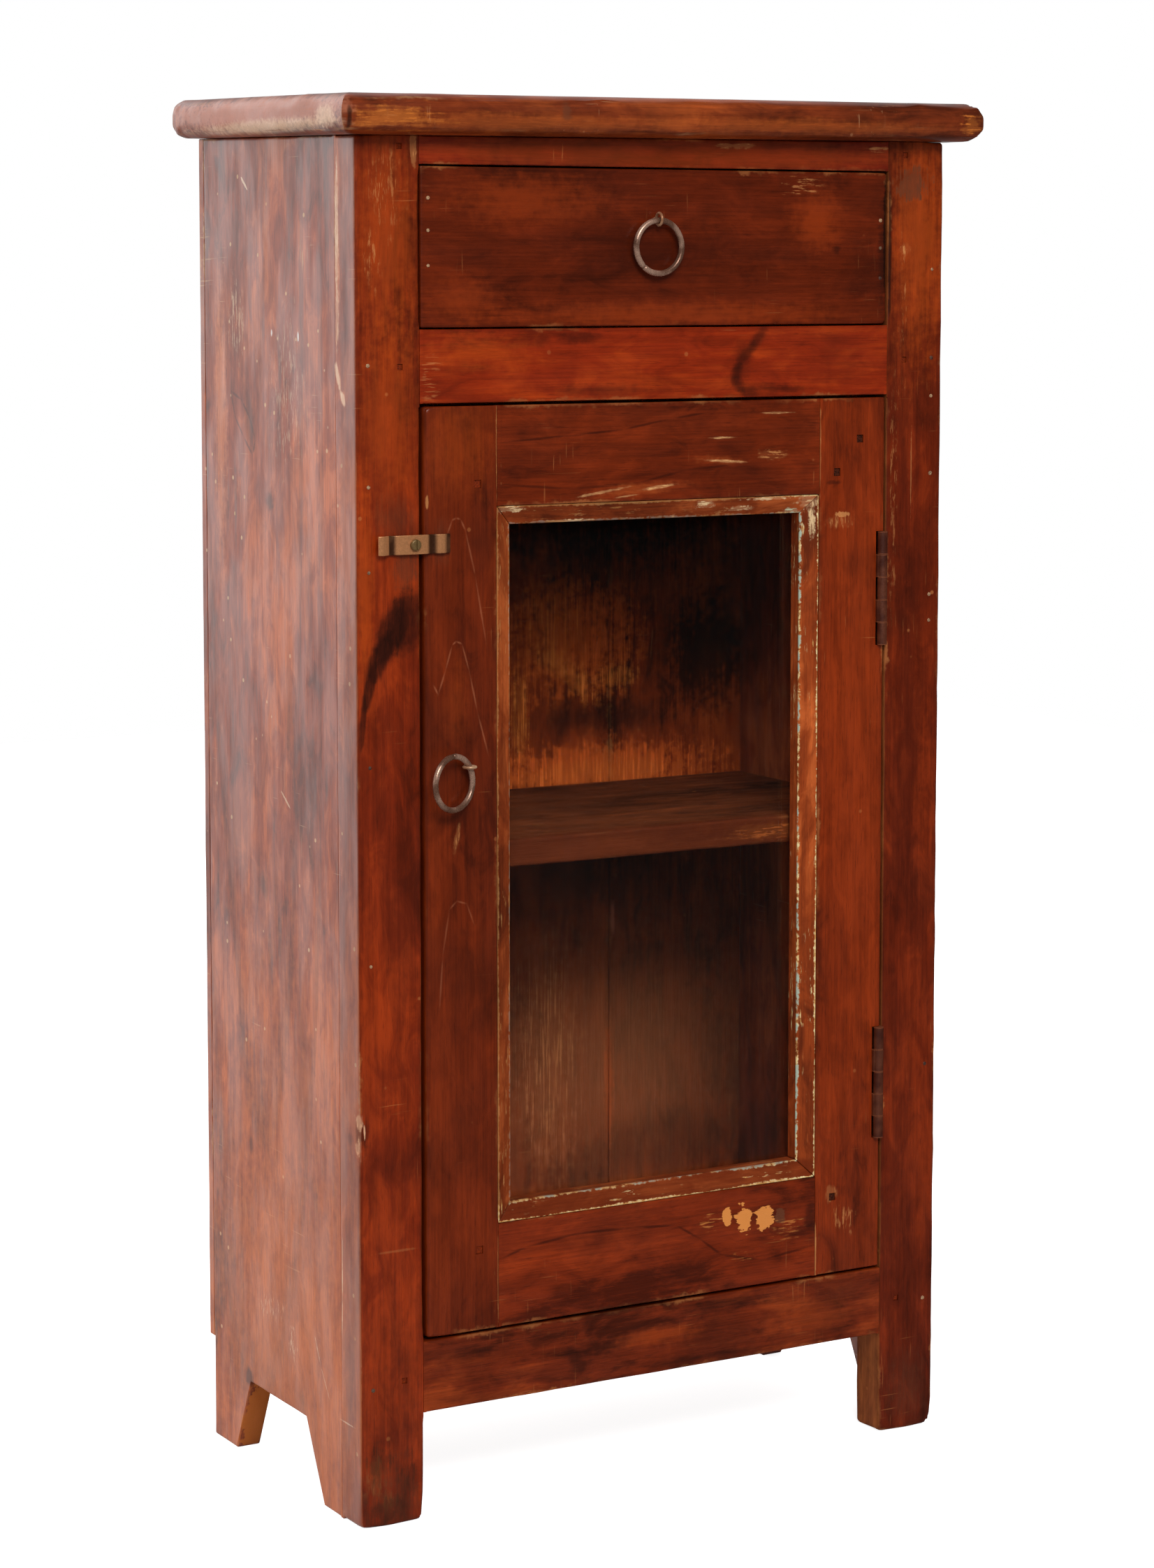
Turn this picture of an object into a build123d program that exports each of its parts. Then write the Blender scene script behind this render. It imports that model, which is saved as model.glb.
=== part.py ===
"""Teak side cabinet: a drawer over a glazed door, on feet cut from the side planks.

Millimetres, +Z up, front towards -Y, origin on the floor under the middle of the top board.
"""
import os
from math import cos, radians, sin

from build123d import *

# Carcass
overall_height = 1000
body_width = 485
side_depth = 249
side_thickness = 19
back_thickness = 9
back_bottom_height = 75
back_seam_gap = 0.6
back_seam_shares = (0.36, 0.71)
top_thickness = 28
top_overhang_side = 20
top_overhang_front = 22
top_edge_radius = 12.5

# Foot cut-out of a side plank, measured back from the front face and up from the floor
foot_front_at_floor = 60
foot_front_at_top = 89
foot_back_at_top = 184
foot_back_at_floor = 210
foot_cut_height = 57

# Front frame
frame_thickness = 31
stile_width = 49
top_rail_height = 24
drawer_opening_height = 112
middle_rail_height = 51
bottom_rail_height = 51
leg_clearance = 77
tenon_length = 30
tenon_thickness = 10
tenon_height_share = 0.7
arris = 1.2

# Boards inside
floor_thickness = 18
floor_drop = 3
shelf_height = 474
shelf_thickness = 20
cleat_size = 20
cleat_end_gap = 14
runner_thickness = 22
runner_reach = 18
guide_height = 30

# Drawer
drawer_gap = 0.9
drawer_front_thickness = 20
drawer_side_thickness = 12
drawer_side_height = 100
drawer_back_thickness = 12
drawer_back_gap = 14
drawer_bottom_thickness = 6
drawer_bottom_lift = 9
drawer_groove_depth = 5

# Door
door_thickness = 25
door_stile_width = 57
door_top_rail_height = 70
door_bottom_rail_height = 75
door_latch_gap = 3
door_level_gap = 1.8
door_tenon_length = 40
door_tenon_thickness = 8
door_stop_gap = 0.5
glass_setback = 18
glass_thickness = 3
glass_edge_gap = 0.8
lip_width = 9
bead_width = 13.5
bead_outer_setback = 0.6
bead_inner_setback = 6.5

# Butt hinges with five knuckles
hinge_length = 84
hinge_inset = 99
hinge_proud = 1.2
knuckle_diameter = 7.5
knuckle_count = 5
hinge_pin_diameter = 4
leaf_thickness = 1.6
leaf_depth = 22
leaf_slot = 1.1
leaf_wrap_share = 0.25
hinge_screw_shares = (0.14, 0.5, 0.86)
hinge_screw_length = 18
hinge_screw_diameter = 3.4
hinge_screw_head = 6.6

# Ring pulls on split-pin eyes
ring_diameter = 41.5
ring_wire = 4.2
eye_loop_radius = 4.2
eye_wire = 2
eye_standoff = 5.5
eye_shank_diameter = 3.2
eye_leg_length = 10
eye_leg_thickness = 1.4
drawer_ring_offset = -6
drawer_ring_drop = 36
door_ring_inset = 32
door_ring_height = 533
door_ring_hang_angle = 32
door_ring_swing_angle = 19

# Turn latch
strap_length = 57
strap_width = 13.4
strap_thickness = 1.5
strap_rise = 4
strap_wave_shares = (
    (-1, 0.85), (-0.86, 1), (-0.66, 0.15), (-0.42, 0.4), (0, 0.5),
    (0.3, 0.42), (0.46, 0.12), (0.74, 0.4), (1, 0),
)
latch_inset = 6
latch_drop = 94.2
latch_screw_head = 7.8
latch_screw_head_height = 2.4
latch_screw_diameter = 4
latch_screw_length = 24
screw_slot_width = 1
screw_slot_depth = 1.1

# Cut nails and square pegs
nail_size = 2.4
nail_head_size = 3.8
nail_head_height = 1.2
nail_length = 52
tack_length = 34
stile_nail_shares = {
    -1: (0.102, 0.41, 0.552, 0.69, 0.75, 0.835),
    1: (0.102, 0.288, 0.634, 0.654, 0.747, 0.806, 0.835, 0.902),
}
back_nail_shares = (0.12, 0.34, 0.56, 0.78, 0.97)
board_nail_shares = (0.2, 0.8)
drawer_nail_shares = {-1: (0.43, 0.67, 0.89), 1: (0.34, 0.56, 0.76)}
frame_peg_size = 4
door_peg_size = 5.5
peg_length = 22
peg_sink = 1.2
door_peg_shares = (0.38, 0.226)
door_second_peg_shares = (0.88, 0.57)

# Fits
joint_clearance = 0.1
slide_clearance = 0.3
pin_clearance = 0.05
overrun = 5

# Places worked out from the sizes above
body_half = body_width / 2
side_inner = body_half - side_thickness
opening_half = body_half - stile_width
top_depth = top_overhang_front + side_depth + back_thickness
top_half = body_half + top_overhang_side
face = top_overhang_front - top_depth / 2
frame_back = face + frame_thickness
frame_middle = face + frame_thickness / 2
side_back = face + side_depth
body_back = side_back + back_thickness
body_top = overall_height - top_thickness
drawer_opening_top = body_top - top_rail_height
middle_rail_top = drawer_opening_top - drawer_opening_height
door_opening_top = middle_rail_top - middle_rail_height
bottom_rail_top = leg_clearance + bottom_rail_height

rail_levels = {
    "top_rail": (drawer_opening_top, body_top),
    "middle_rail": (door_opening_top, middle_rail_top),
    "bottom_rail": (leg_clearance, bottom_rail_top),
}
sides = {"left": -1, "right": 1}


def block(x_range, y_range, z_range, grow=0):
    """A box between three pairs of limits, made larger by grow on every side."""
    limits = [sorted(pair) for pair in (x_range, y_range, z_range)]
    sizes = [high - low + 2 * grow for low, high in limits]
    middle = [(low + high) / 2 for low, high in limits]
    return Pos(*middle) * Box(*sizes)


def eased(board, grain):
    """A board whose two front edges along the grain are worn round."""
    edges = board.edges().filter_by(grain).group_by(Axis.Y)[0]
    return fillet(edges, arris)


def rod(radius, length, start, direction):
    """A round bar from a point, along a direction."""
    plane = Plane(origin=start, z_dir=direction)
    return plane.location * Cylinder(radius, length, align=(Align.CENTER, Align.CENTER, Align.MIN))


def tenon(shoulder, side, length, y_middle, thickness, z_range, grow=0):
    """The tongue at one end of a rail, or with grow its mortise."""
    z_low, z_high = z_range
    z_middle = (z_low + z_high) / 2
    half_height = (z_high - z_low) * tenon_height_share / 2
    return block(
        (shoulder, shoulder + side * length),
        (y_middle - thickness / 2, y_middle + thickness / 2),
        (z_middle - half_height, z_middle + half_height),
        grow,
    )


def nail(x, y, z, direction, length, grow=0):
    """A square cut nail driven from a face along Y, its head level with the face."""
    half = nail_size / 2
    half_head = nail_head_size / 2
    head_end = y + direction * nail_head_height
    head = block((x - half_head, x + half_head), (y, head_end), (z - half_head, z + half_head), grow)
    shank = block((x - half, x + half), (y, y + direction * length), (z - half, z + half), grow)
    return head + shank


def peg(x, z, size, grow=0):
    """A square peg driven from the front and sunk a little below the face."""
    half = size / 2
    front = face if grow else face + peg_sink
    return block((x - half, x + half), (front, face + peg_length), (z - half, z + half), grow)


def save(name, shape):
    """Write one node, a single solid or a list of like solids."""
    if isinstance(shape, list):
        shape = Compound(shape)
    shape.label = name
    export_step(shape, f"parts/{name}.step")


# Hinge places
hinge_radius = knuckle_diameter / 2
hinge_x = opening_half - hinge_radius
hinge_y = face - hinge_proud
recess_x = hinge_x - hinge_radius - leaf_slot
leaf_end = face + leaf_depth
knuckle_height = hinge_length / knuckle_count
hinge_screw_y = (hinge_y + hinge_radius + leaf_end) / 2

# Door places
door_left = -opening_half + door_latch_gap
door_right = opening_half - leaf_thickness
door_low = bottom_rail_top + door_level_gap
door_high = door_opening_top - door_level_gap
door_back = face + door_thickness
door_middle = face + glass_setback / 2
glass_front = face + glass_setback
glass_back = glass_front + glass_thickness
sight_left = door_left + door_stile_width
sight_right = door_right - door_stile_width
sight_low = door_low + door_bottom_rail_height
sight_high = door_high - door_top_rail_height
hinge_starts = {
    "upper": door_high - hinge_inset - hinge_length,
    "lower": door_low + hinge_inset,
}

# Drawer places
drawer_half = opening_half - drawer_gap
drawer_low = middle_rail_top + slide_clearance
drawer_high = drawer_opening_top - drawer_gap
drawer_front_back = face + drawer_front_thickness
drawer_end = side_back - drawer_back_gap
drawer_inner = drawer_half - drawer_side_thickness
drawer_bottom_low = drawer_low + drawer_bottom_lift
drawer_bottom_high = drawer_bottom_low + drawer_bottom_thickness
drawer_side_high = drawer_low + drawer_side_height

# Pull and latch places
ring_radius = (ring_diameter - ring_wire) / 2
eye_y = face - eye_standoff
drawer_eye_height = drawer_opening_top - drawer_ring_drop
door_eye_x = door_left + door_ring_inset
latch_x = -opening_half - latch_inset
latch_height = door_high - latch_drop


def eye_hole(x, z, thickness):
    """The hole that a ring's split pin passes through."""
    start = (x, face - overrun, z)
    return rod(eye_shank_diameter / 2 + pin_clearance, thickness + 2 * overrun, start, (0, 1, 0))


def screw(start, direction, grow=0):
    """A countersunk hinge screw, its head sunk through a leaf."""
    plane = Plane(origin=start, z_dir=direction)
    lift = Align.CENTER, Align.CENTER, Align.MIN
    shank_radius = hinge_screw_diameter / 2 + grow
    head = Cone(hinge_screw_head / 2 + grow, shank_radius, leaf_thickness, align=lift)
    shank = Cylinder(shank_radius, hinge_screw_length + grow, align=lift)
    return plane.location * (head + shank)


def hinge_screw_heights(start):
    return [start + hinge_length * share for share in hinge_screw_shares]


def frame_screws(start, grow=0):
    """The screws of one frame leaf, driven into the stile."""
    x = opening_half - leaf_thickness
    return [screw((x, hinge_screw_y, z), (1, 0, 0), grow) for z in hinge_screw_heights(start)]


def door_screws(start, grow=0):
    """The screws of one door leaf, driven into the door's edge."""
    x = recess_x + leaf_thickness
    return [screw((x, hinge_screw_y, z), (-1, 0, 0), grow) for z in hinge_screw_heights(start)]


def stile_nails(side, grow=0):
    x = side * (body_half - side_thickness / 2)
    return [nail(x, face, share * body_top, 1, nail_length, grow) for share in stile_nail_shares[side]]


def frame_pegs(side, grow=0):
    x = side * (opening_half + tenon_length / 2)
    return [peg(x, (low + high) / 2, frame_peg_size, grow) for low, high in rail_levels.values()]


def back_edge_nails(side, grow=0):
    x = side * (body_half - side_thickness / 2)
    height = body_top - back_bottom_height
    levels = [back_bottom_height + share * height for share in back_nail_shares]
    return [nail(x, body_back, z, -1, tack_length, grow) for z in levels]


# The latch's pivot screw, a round head over the strap
strap_inner = face - slide_clearance
strap_seat = strap_inner - strap_rise * dict(strap_wave_shares)[0] - strap_thickness
latch_screw_y = strap_seat - slide_clearance


def latch_shank(grow=0):
    start = (latch_x, latch_screw_y, latch_height)
    return rod(latch_screw_diameter / 2 + grow, latch_screw_length, start, (0, 1, 0))


# Top board, rounded along its front and both ends
def top_board():
    board = block((-top_half, top_half), (-top_depth / 2, top_depth / 2), (body_top, overall_height))
    flat_faces = board.faces().filter_by(Axis.Z)
    edges = [edge for flat in flat_faces for edge in flat.edges().sort_by(Axis.Y)[:-1]]
    return fillet(edges, top_edge_radius)


# Side planks, whose lower ends are the feet
def side_plank(side):
    x_range = (side * side_inner, side * body_half)
    plank = block(x_range, (frame_back, side_back), (0, body_top))
    outline = [
        (foot_front_at_floor, -overrun),
        (foot_front_at_floor, 0),
        (foot_front_at_top, foot_cut_height),
        (foot_back_at_top, foot_cut_height),
        (foot_back_at_floor, 0),
        (foot_back_at_floor, -overrun),
    ]
    points = [(-body_width, face + depth, height) for depth, height in outline]
    cut = extrude(make_face(Polyline(*points, close=True)), 2 * body_width, dir=(1, 0, 0))
    plank -= cut
    plank -= stile_nails(side, joint_clearance)
    plank -= back_edge_nails(side, joint_clearance)
    return plank


# Front stiles, planted on the planks' front edges
def front_stile(side):
    stile = block((side * opening_half, side * body_half), (face, frame_back), (0, body_top))
    edges = stile.edges().filter_by(Axis.Z).group_by(Axis.Y)[0]
    edges += stile.faces().sort_by(Axis.Z)[0].edges().sort_by(Axis.Y)[:-1]
    stile = fillet(edges, arris)
    for z_range in rail_levels.values():
        shoulder = side * opening_half
        stile -= tenon(shoulder, side, tenon_length, frame_middle, tenon_thickness, z_range, joint_clearance)
    stile -= stile_nails(side, joint_clearance)
    stile -= frame_pegs(side, joint_clearance)
    if side > 0:
        for start in hinge_starts.values():
            stile -= frame_screws(start, pin_clearance)
    else:
        stile -= latch_shank(pin_clearance)
    return stile


# Rails between the stiles
def front_rail(z_range):
    rail = eased(block((-opening_half, opening_half), (face, frame_back), z_range), Axis.X)
    for side in sides.values():
        shoulder = side * opening_half
        rail += tenon(shoulder, side, tenon_length, frame_middle, tenon_thickness, z_range)
        rail -= frame_pegs(side, joint_clearance)
    return rail


# Back boards, nailed to the planks, the floor and the shelf
back_edges = [-body_half, *(body_width * share - body_half for share in back_seam_shares), body_half]
board_levels = {
    "floor": bottom_rail_top - floor_drop - floor_thickness / 2,
    "shelf": shelf_height - shelf_thickness / 2,
}


def board_nails(grow=0):
    """The tacks that hold the back boards to the edges of the floor and the shelf."""
    places = []
    for left, right in zip(back_edges, back_edges[1:]):
        low = max(left, -side_inner)
        high = min(right, side_inner)
        places += [low + (high - low) * share for share in board_nail_shares]
    return [nail(x, body_back, z, -1, tack_length, grow) for x in places for z in board_levels.values()]


def back_board(left, right):
    x_range = (left + back_seam_gap / 2, right - back_seam_gap / 2)
    board = block(x_range, (side_back, body_back), (back_bottom_height, body_top))
    holes = board_nails(joint_clearance)
    for side in sides.values():
        holes += back_edge_nails(side, joint_clearance)
    return board - holes


# Floor board and shelf, with the cleats under them
floor_high = bottom_rail_top - floor_drop
floor_low = floor_high - floor_thickness
shelf_low = shelf_height - shelf_thickness


def floor_board():
    board = block((-side_inner, side_inner), (frame_back, side_back), (floor_low, floor_high))
    return board - board_nails(joint_clearance)


def shelf():
    """A board notched round the stiles, whose front edge stops the door."""
    z_range = (shelf_low, shelf_height)
    board = block((-side_inner, side_inner), (frame_back, side_back), z_range)
    nose_half = opening_half - slide_clearance
    board += block((-nose_half, nose_half), (door_back + door_stop_gap, frame_back), z_range)
    return board - board_nails(joint_clearance)


def cleat(side, top):
    x_range = (side * (side_inner - cleat_size), side * side_inner)
    y_range = (frame_back + cleat_end_gap, side_back - cleat_end_gap)
    return block(x_range, y_range, (top - cleat_size, top))


# Drawer runners and the guides that stand on them
def drawer_runner(side):
    x_range = (side * (opening_half - runner_reach), side * side_inner)
    return block(x_range, (frame_back, side_back), (middle_rail_top - runner_thickness, middle_rail_top))


def drawer_guide(side):
    x_range = (side * opening_half, side * side_inner)
    return block(x_range, (frame_back, side_back), (middle_rail_top, middle_rail_top + guide_height))


# Drawer: the front is nailed on the ends of the sides, and the bottom slides into grooves
def drawer_nails(side, grow=0):
    x = side * (drawer_half - drawer_side_thickness / 2)
    levels = [drawer_low + drawer_side_height * share for share in drawer_nail_shares[side]]
    return [nail(x, face, z, 1, nail_length, grow) for z in levels]


def drawer_bottom(grow=0):
    reach = drawer_inner + drawer_groove_depth
    front = drawer_front_back - drawer_groove_depth
    y_range = (front, drawer_end)
    return block((-reach, reach), y_range, (drawer_bottom_low, drawer_bottom_high), grow)


def drawer_front():
    front_low = middle_rail_top + drawer_gap
    board = block((-drawer_half, drawer_half), (face, drawer_front_back), (front_low, drawer_high))
    board = fillet(board.faces().sort_by(Axis.Y)[0].edges(), arris)
    for side in sides.values():
        board -= drawer_nails(side, joint_clearance)
    board -= drawer_bottom(joint_clearance)
    return board - eye_hole(drawer_ring_offset, drawer_eye_height, drawer_front_thickness)


def drawer_side(side):
    x_range = (side * drawer_inner, side * drawer_half)
    board = block(x_range, (drawer_front_back, drawer_end), (drawer_low, drawer_side_high))
    board -= drawer_bottom(joint_clearance)
    return board - drawer_nails(side, joint_clearance)


def drawer_back():
    y_range = (drawer_end - drawer_back_thickness, drawer_end)
    z_range = (drawer_bottom_high + joint_clearance, drawer_side_high)
    return block((-drawer_inner, drawer_inner), y_range, z_range)


# Door frame: rebated stiles and rails, with tenons and square pegs
door_rail_levels = {
    "door_top_rail": (sight_high, door_high),
    "door_bottom_rail": (door_low, sight_low),
}
door_shoulders = {-1: sight_left, 1: sight_right}


def door_pegs(side, grow=0):
    """The pegs through one stile, one at each joint, with a second at the upper right."""
    places = [
        (sight_high, door_top_rail_height, door_peg_shares),
        (sight_low, -door_bottom_rail_height, door_peg_shares),
    ]
    if side > 0:
        places.append((sight_high, door_top_rail_height, door_second_peg_shares))
    pegs = []
    for edge, height, (along, up) in places:
        x = door_shoulders[side] + side * along * door_tenon_length
        pegs.append(peg(x, edge + up * height, door_peg_size, grow))
    return pegs


def door_tenon(side, z_range, grow=0):
    shoulder = door_shoulders[side]
    return tenon(shoulder, side, door_tenon_length, door_middle, door_tenon_thickness, z_range, grow)


def hinge_recess(start):
    """The pocket in the door's edge that takes one whole hinge, open to the front."""
    return block(
        (recess_x, opening_half),
        (face - overrun, leaf_end + slide_clearance),
        (start - slide_clearance, start + hinge_length + slide_clearance),
    )


def door_stile(side):
    outer = door_left if side < 0 else door_right
    inner = door_shoulders[side]
    z_range = (door_low, door_high)
    stile = eased(block((outer, inner), (face, glass_back), z_range), Axis.Z)
    stile += block((outer, inner - side * lip_width), (glass_back, door_back), z_range)
    for levels in door_rail_levels.values():
        stile -= door_tenon(side, levels, joint_clearance)
    stile -= door_pegs(side, joint_clearance)
    if side > 0:
        for start in hinge_starts.values():
            stile -= hinge_recess(start)
            stile -= door_screws(start, pin_clearance)
    else:
        stile -= eye_hole(door_eye_x, door_ring_height, door_thickness)
    return stile


def door_rail(z_range, lip_edge, lip_direction):
    """A rail with a long shoulder in front and a short one behind, over the stiles' lips."""
    rail = eased(block((sight_left, sight_right), (face, glass_back), z_range), Axis.X)
    z_low, z_high = z_range
    far_edge = z_high if lip_direction < 0 else z_low
    rail += block(
        (sight_left + lip_width, sight_right - lip_width),
        (glass_back, door_back),
        (far_edge, lip_edge + lip_direction * lip_width),
    )
    for side in sides.values():
        rail += door_tenon(side, z_range)
        rail -= door_pegs(side, joint_clearance)
    return rail


def door_glass():
    return block(
        (sight_left + glass_edge_gap, sight_right - glass_edge_gap),
        (glass_front, glass_back),
        (sight_low + glass_edge_gap, sight_high - glass_edge_gap),
    )


def bead(corner, along, inward, length):
    """A glazing bead that slopes back towards the glass, mitred at both ends.

    Built with X along the bead, Y into the door and Z from the frame towards the pane.
    """
    start = joint_clearance
    profile = [
        (0, bead_outer_setback, start),
        (0, glass_setback, start),
        (0, glass_setback, bead_width),
        (0, bead_inner_setback, bead_width),
    ]
    bar = extrude(make_face(Polyline(*profile, close=True)), length, dir=(1, 0, 0))
    mitred = [
        (start, 0, 0),
        (length - start, 0, 0),
        (length - start - bead_width, 0, bead_width),
        (start + bead_width, 0, bead_width),
    ]
    mitres = extrude(make_face(Polyline(*mitred, close=True)), glass_setback, dir=(0, 1, 0))
    return Plane(origin=corner, x_dir=along, z_dir=inward).location * (bar & mitres)


sight_width = sight_right - sight_left
sight_height = sight_high - sight_low
bead_places = {
    "bead_bottom": ((sight_left, face, sight_low), (1, 0, 0), (0, 0, 1), sight_width),
    "bead_right": ((sight_right, face, sight_low), (0, 0, 1), (-1, 0, 0), sight_height),
    "bead_top": ((sight_right, face, sight_high), (-1, 0, 0), (0, 0, -1), sight_width),
    "bead_left": ((sight_left, face, sight_high), (0, 0, -1), (1, 0, 0), sight_height),
}


# Hinge leaves: the frame leaf holds the odd knuckles and the door leaf the even ones
def knuckle_range(start, index):
    low = start + index * knuckle_height
    return (low + joint_clearance, low + knuckle_height - joint_clearance)


def hinge_leaf(start, plate_x, front, own_knuckles):
    """A plate with knuckles bent round the pin, cut away where the other leaf's knuckles turn."""
    leaf = block(plate_x, (front, leaf_end), (start, start + hinge_length))
    bore_start = (hinge_x, hinge_y, start - overrun)
    for index in range(knuckle_count):
        low, high = knuckle_range(start, index)
        if index in own_knuckles:
            leaf += rod(hinge_radius, high - low, (hinge_x, hinge_y, low), (0, 0, 1))
        else:
            gap_y = (hinge_y - hinge_radius, hinge_y + hinge_radius + slide_clearance)
            gap_z = (low - 2 * joint_clearance, high + 2 * joint_clearance)
            leaf -= block((recess_x - overrun, opening_half + overrun), gap_y, gap_z)
    bore_radius = hinge_pin_diameter / 2 + pin_clearance
    return leaf - rod(bore_radius, hinge_length + 2 * overrun, bore_start, (0, 0, 1))


def frame_leaf(start):
    plate_x = (opening_half - leaf_thickness, opening_half)
    leaf = hinge_leaf(start, plate_x, hinge_y, range(0, knuckle_count, 2))
    return leaf - frame_screws(start, pin_clearance)


def door_leaf(start):
    plate_x = (recess_x, recess_x + leaf_thickness)
    leaf = hinge_leaf(start, plate_x, hinge_y - hinge_radius * leaf_wrap_share, range(1, knuckle_count, 2))
    return leaf - door_screws(start, pin_clearance)


def hinge_pin(start):
    return rod(hinge_pin_diameter / 2, hinge_length, (hinge_x, hinge_y, start), (0, 0, 1))


# Ring pulls
def ring_eye(x, z, thickness, turn):
    """A split pin: a loop in front, a shank through the wood and two legs clinched behind."""
    loop = Pos(0, -eye_standoff, 0) * Rot(0, 90 - turn, 0) * Torus(eye_loop_radius, eye_wire / 2)
    shank_front = eye_loop_radius - eye_standoff
    shank = rod(eye_shank_diameter / 2, thickness - shank_front, (0, shank_front, 0), (0, 1, 0))
    half = eye_wire / 2
    legs = block((-half, half), (thickness, thickness + eye_leg_thickness), (-eye_leg_length, eye_leg_length))
    return Pos(x, face, z) * (loop + shank + Rot(0, -turn, 0) * legs)


def drawer_ring():
    """A ring hanging in the bottom of its eye, flat in front of the drawer."""
    hang = eye_loop_radius - (eye_wire + ring_wire) / 2 - slide_clearance
    ring = Rot(90, 0, 0) * Torus(ring_radius, ring_wire / 2)
    return Pos(drawer_ring_offset, eye_y, drawer_eye_height - hang - ring_radius) * ring


def door_ring():
    """A ring that has slid round in its eye and stands off the door at its free side."""
    left = ring_radius * cos(radians(door_ring_hang_angle))
    down = ring_radius * sin(radians(door_ring_hang_angle))
    ring = Pos(-left, 0, -down) * Rot(90, 0, 0) * Torus(ring_radius, ring_wire / 2)
    return Pos(door_eye_x, eye_y, door_ring_height) * Rot(0, 0, door_ring_swing_angle) * ring


# Turn latch: a strap bent in waves, on a round-headed screw
def latch_strap():
    half = strap_length / 2
    inner = [(latch_x + x * half, strap_inner - rise * strap_rise) for x, rise in strap_wave_shares]
    outer = [(x, y - strap_thickness) for x, y in inner]
    outline = [Spline(*inner), Spline(*outer), Line(inner[0], outer[0]), Line(inner[-1], outer[-1])]
    strap = extrude(make_face(outline), strap_width, dir=(0, 0, 1))
    strap = Pos(0, 0, latch_height - strap_width / 2) * strap
    return strap - latch_shank(pin_clearance)


def latch_screw():
    head_start = (latch_x, latch_screw_y, latch_height)
    head = rod(latch_screw_head / 2, latch_screw_head_height, head_start, (0, -1, 0))
    head = fillet(head.edges().group_by(Axis.Y)[0], latch_screw_head_height / 2)
    slot_half = screw_slot_width / 2
    slot_bottom = latch_screw_y - latch_screw_head_height + screw_slot_depth
    slot = block(
        (latch_x - slot_half, latch_x + slot_half),
        (slot_bottom, slot_bottom - overrun),
        (latch_height - latch_screw_head, latch_height + latch_screw_head),
    )
    return head + latch_shank() - slot


os.makedirs("parts", exist_ok=True)

save("top_board", top_board())
for name, side in sides.items():
    save(f"side_plank_{name}", side_plank(side))
    save(f"stile_{name}", front_stile(side))
    save(f"floor_cleat_{name}", cleat(side, floor_low))
    save(f"shelf_cleat_{name}", cleat(side, shelf_low))
    save(f"drawer_runner_{name}", drawer_runner(side))
    save(f"drawer_guide_{name}", drawer_guide(side))
    save(f"drawer_side_{name}", drawer_side(side))
    save(f"door_stile_{name}", door_stile(side))
for name, z_range in rail_levels.items():
    save(name, front_rail(z_range))
for name, left, right in zip(("left", "middle", "right"), back_edges, back_edges[1:]):
    save(f"back_board_{name}", back_board(left, right))
save("floor_board", floor_board())
save("shelf", shelf())
save("stile_nails", stile_nails(-1) + stile_nails(1))
save("frame_pegs", frame_pegs(-1) + frame_pegs(1))
save("back_nails", back_edge_nails(-1) + back_edge_nails(1) + board_nails())

save("drawer_front", drawer_front())
save("drawer_back", drawer_back())
save("drawer_bottom", drawer_bottom())
save("drawer_nails", drawer_nails(-1) + drawer_nails(1))
save("drawer_eye", ring_eye(drawer_ring_offset, drawer_eye_height, drawer_front_thickness, 0))
save("drawer_ring", drawer_ring())

save("door_top_rail", door_rail(door_rail_levels["door_top_rail"], sight_high, -1))
save("door_bottom_rail", door_rail(door_rail_levels["door_bottom_rail"], sight_low, 1))
save("door_glass", door_glass())
for name, place in bead_places.items():
    save(name, bead(*place))
save("door_pegs", door_pegs(-1) + door_pegs(1))
save("door_eye", ring_eye(door_eye_x, door_ring_height, door_thickness, 90))
save("door_ring", door_ring())

for name, start in hinge_starts.items():
    save(f"hinge_{name}_frame_leaf", frame_leaf(start))
    save(f"hinge_{name}_door_leaf", door_leaf(start))
    save(f"hinge_{name}_pin", hinge_pin(start))
save("hinge_frame_screws", [solid for start in hinge_starts.values() for solid in frame_screws(start)])
save("hinge_door_screws", [solid for start in hinge_starts.values() for solid in door_screws(start)])

save("latch_strap", latch_strap())
save("latch_screw", latch_screw())
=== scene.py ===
from math import atan2, cos, degrees, hypot, pi, radians, sin

import bmesh
import bpy
import numpy as np
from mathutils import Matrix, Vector, kdtree, noise


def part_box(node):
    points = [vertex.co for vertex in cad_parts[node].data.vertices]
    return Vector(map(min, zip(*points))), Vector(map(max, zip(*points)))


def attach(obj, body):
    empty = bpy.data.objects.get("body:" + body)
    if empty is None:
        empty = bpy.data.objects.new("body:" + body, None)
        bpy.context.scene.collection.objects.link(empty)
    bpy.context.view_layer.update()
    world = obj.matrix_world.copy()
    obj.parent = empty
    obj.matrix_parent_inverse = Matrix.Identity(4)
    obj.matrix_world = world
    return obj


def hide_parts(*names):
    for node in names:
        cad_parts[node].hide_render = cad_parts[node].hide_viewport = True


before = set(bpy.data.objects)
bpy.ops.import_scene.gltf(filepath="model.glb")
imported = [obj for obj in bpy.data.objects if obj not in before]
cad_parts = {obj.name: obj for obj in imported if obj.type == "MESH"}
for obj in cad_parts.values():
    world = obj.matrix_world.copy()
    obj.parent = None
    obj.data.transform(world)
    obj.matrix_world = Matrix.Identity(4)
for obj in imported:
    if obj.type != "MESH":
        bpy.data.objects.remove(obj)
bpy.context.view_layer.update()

# Side planks: two thick teak boards set upright, whose lower ends are sawn out to leave a front and a
# rear foot. They are old boards with a worn polish, scarred by earlier use and rounded at every edge.
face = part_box("stile_left")[0].y
left_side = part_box("side_plank_left")[0].x
foot_profile = ((0.060, 0.0), (0.089, 0.057), (0.184, 0.057), (0.210, 0.0))
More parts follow.
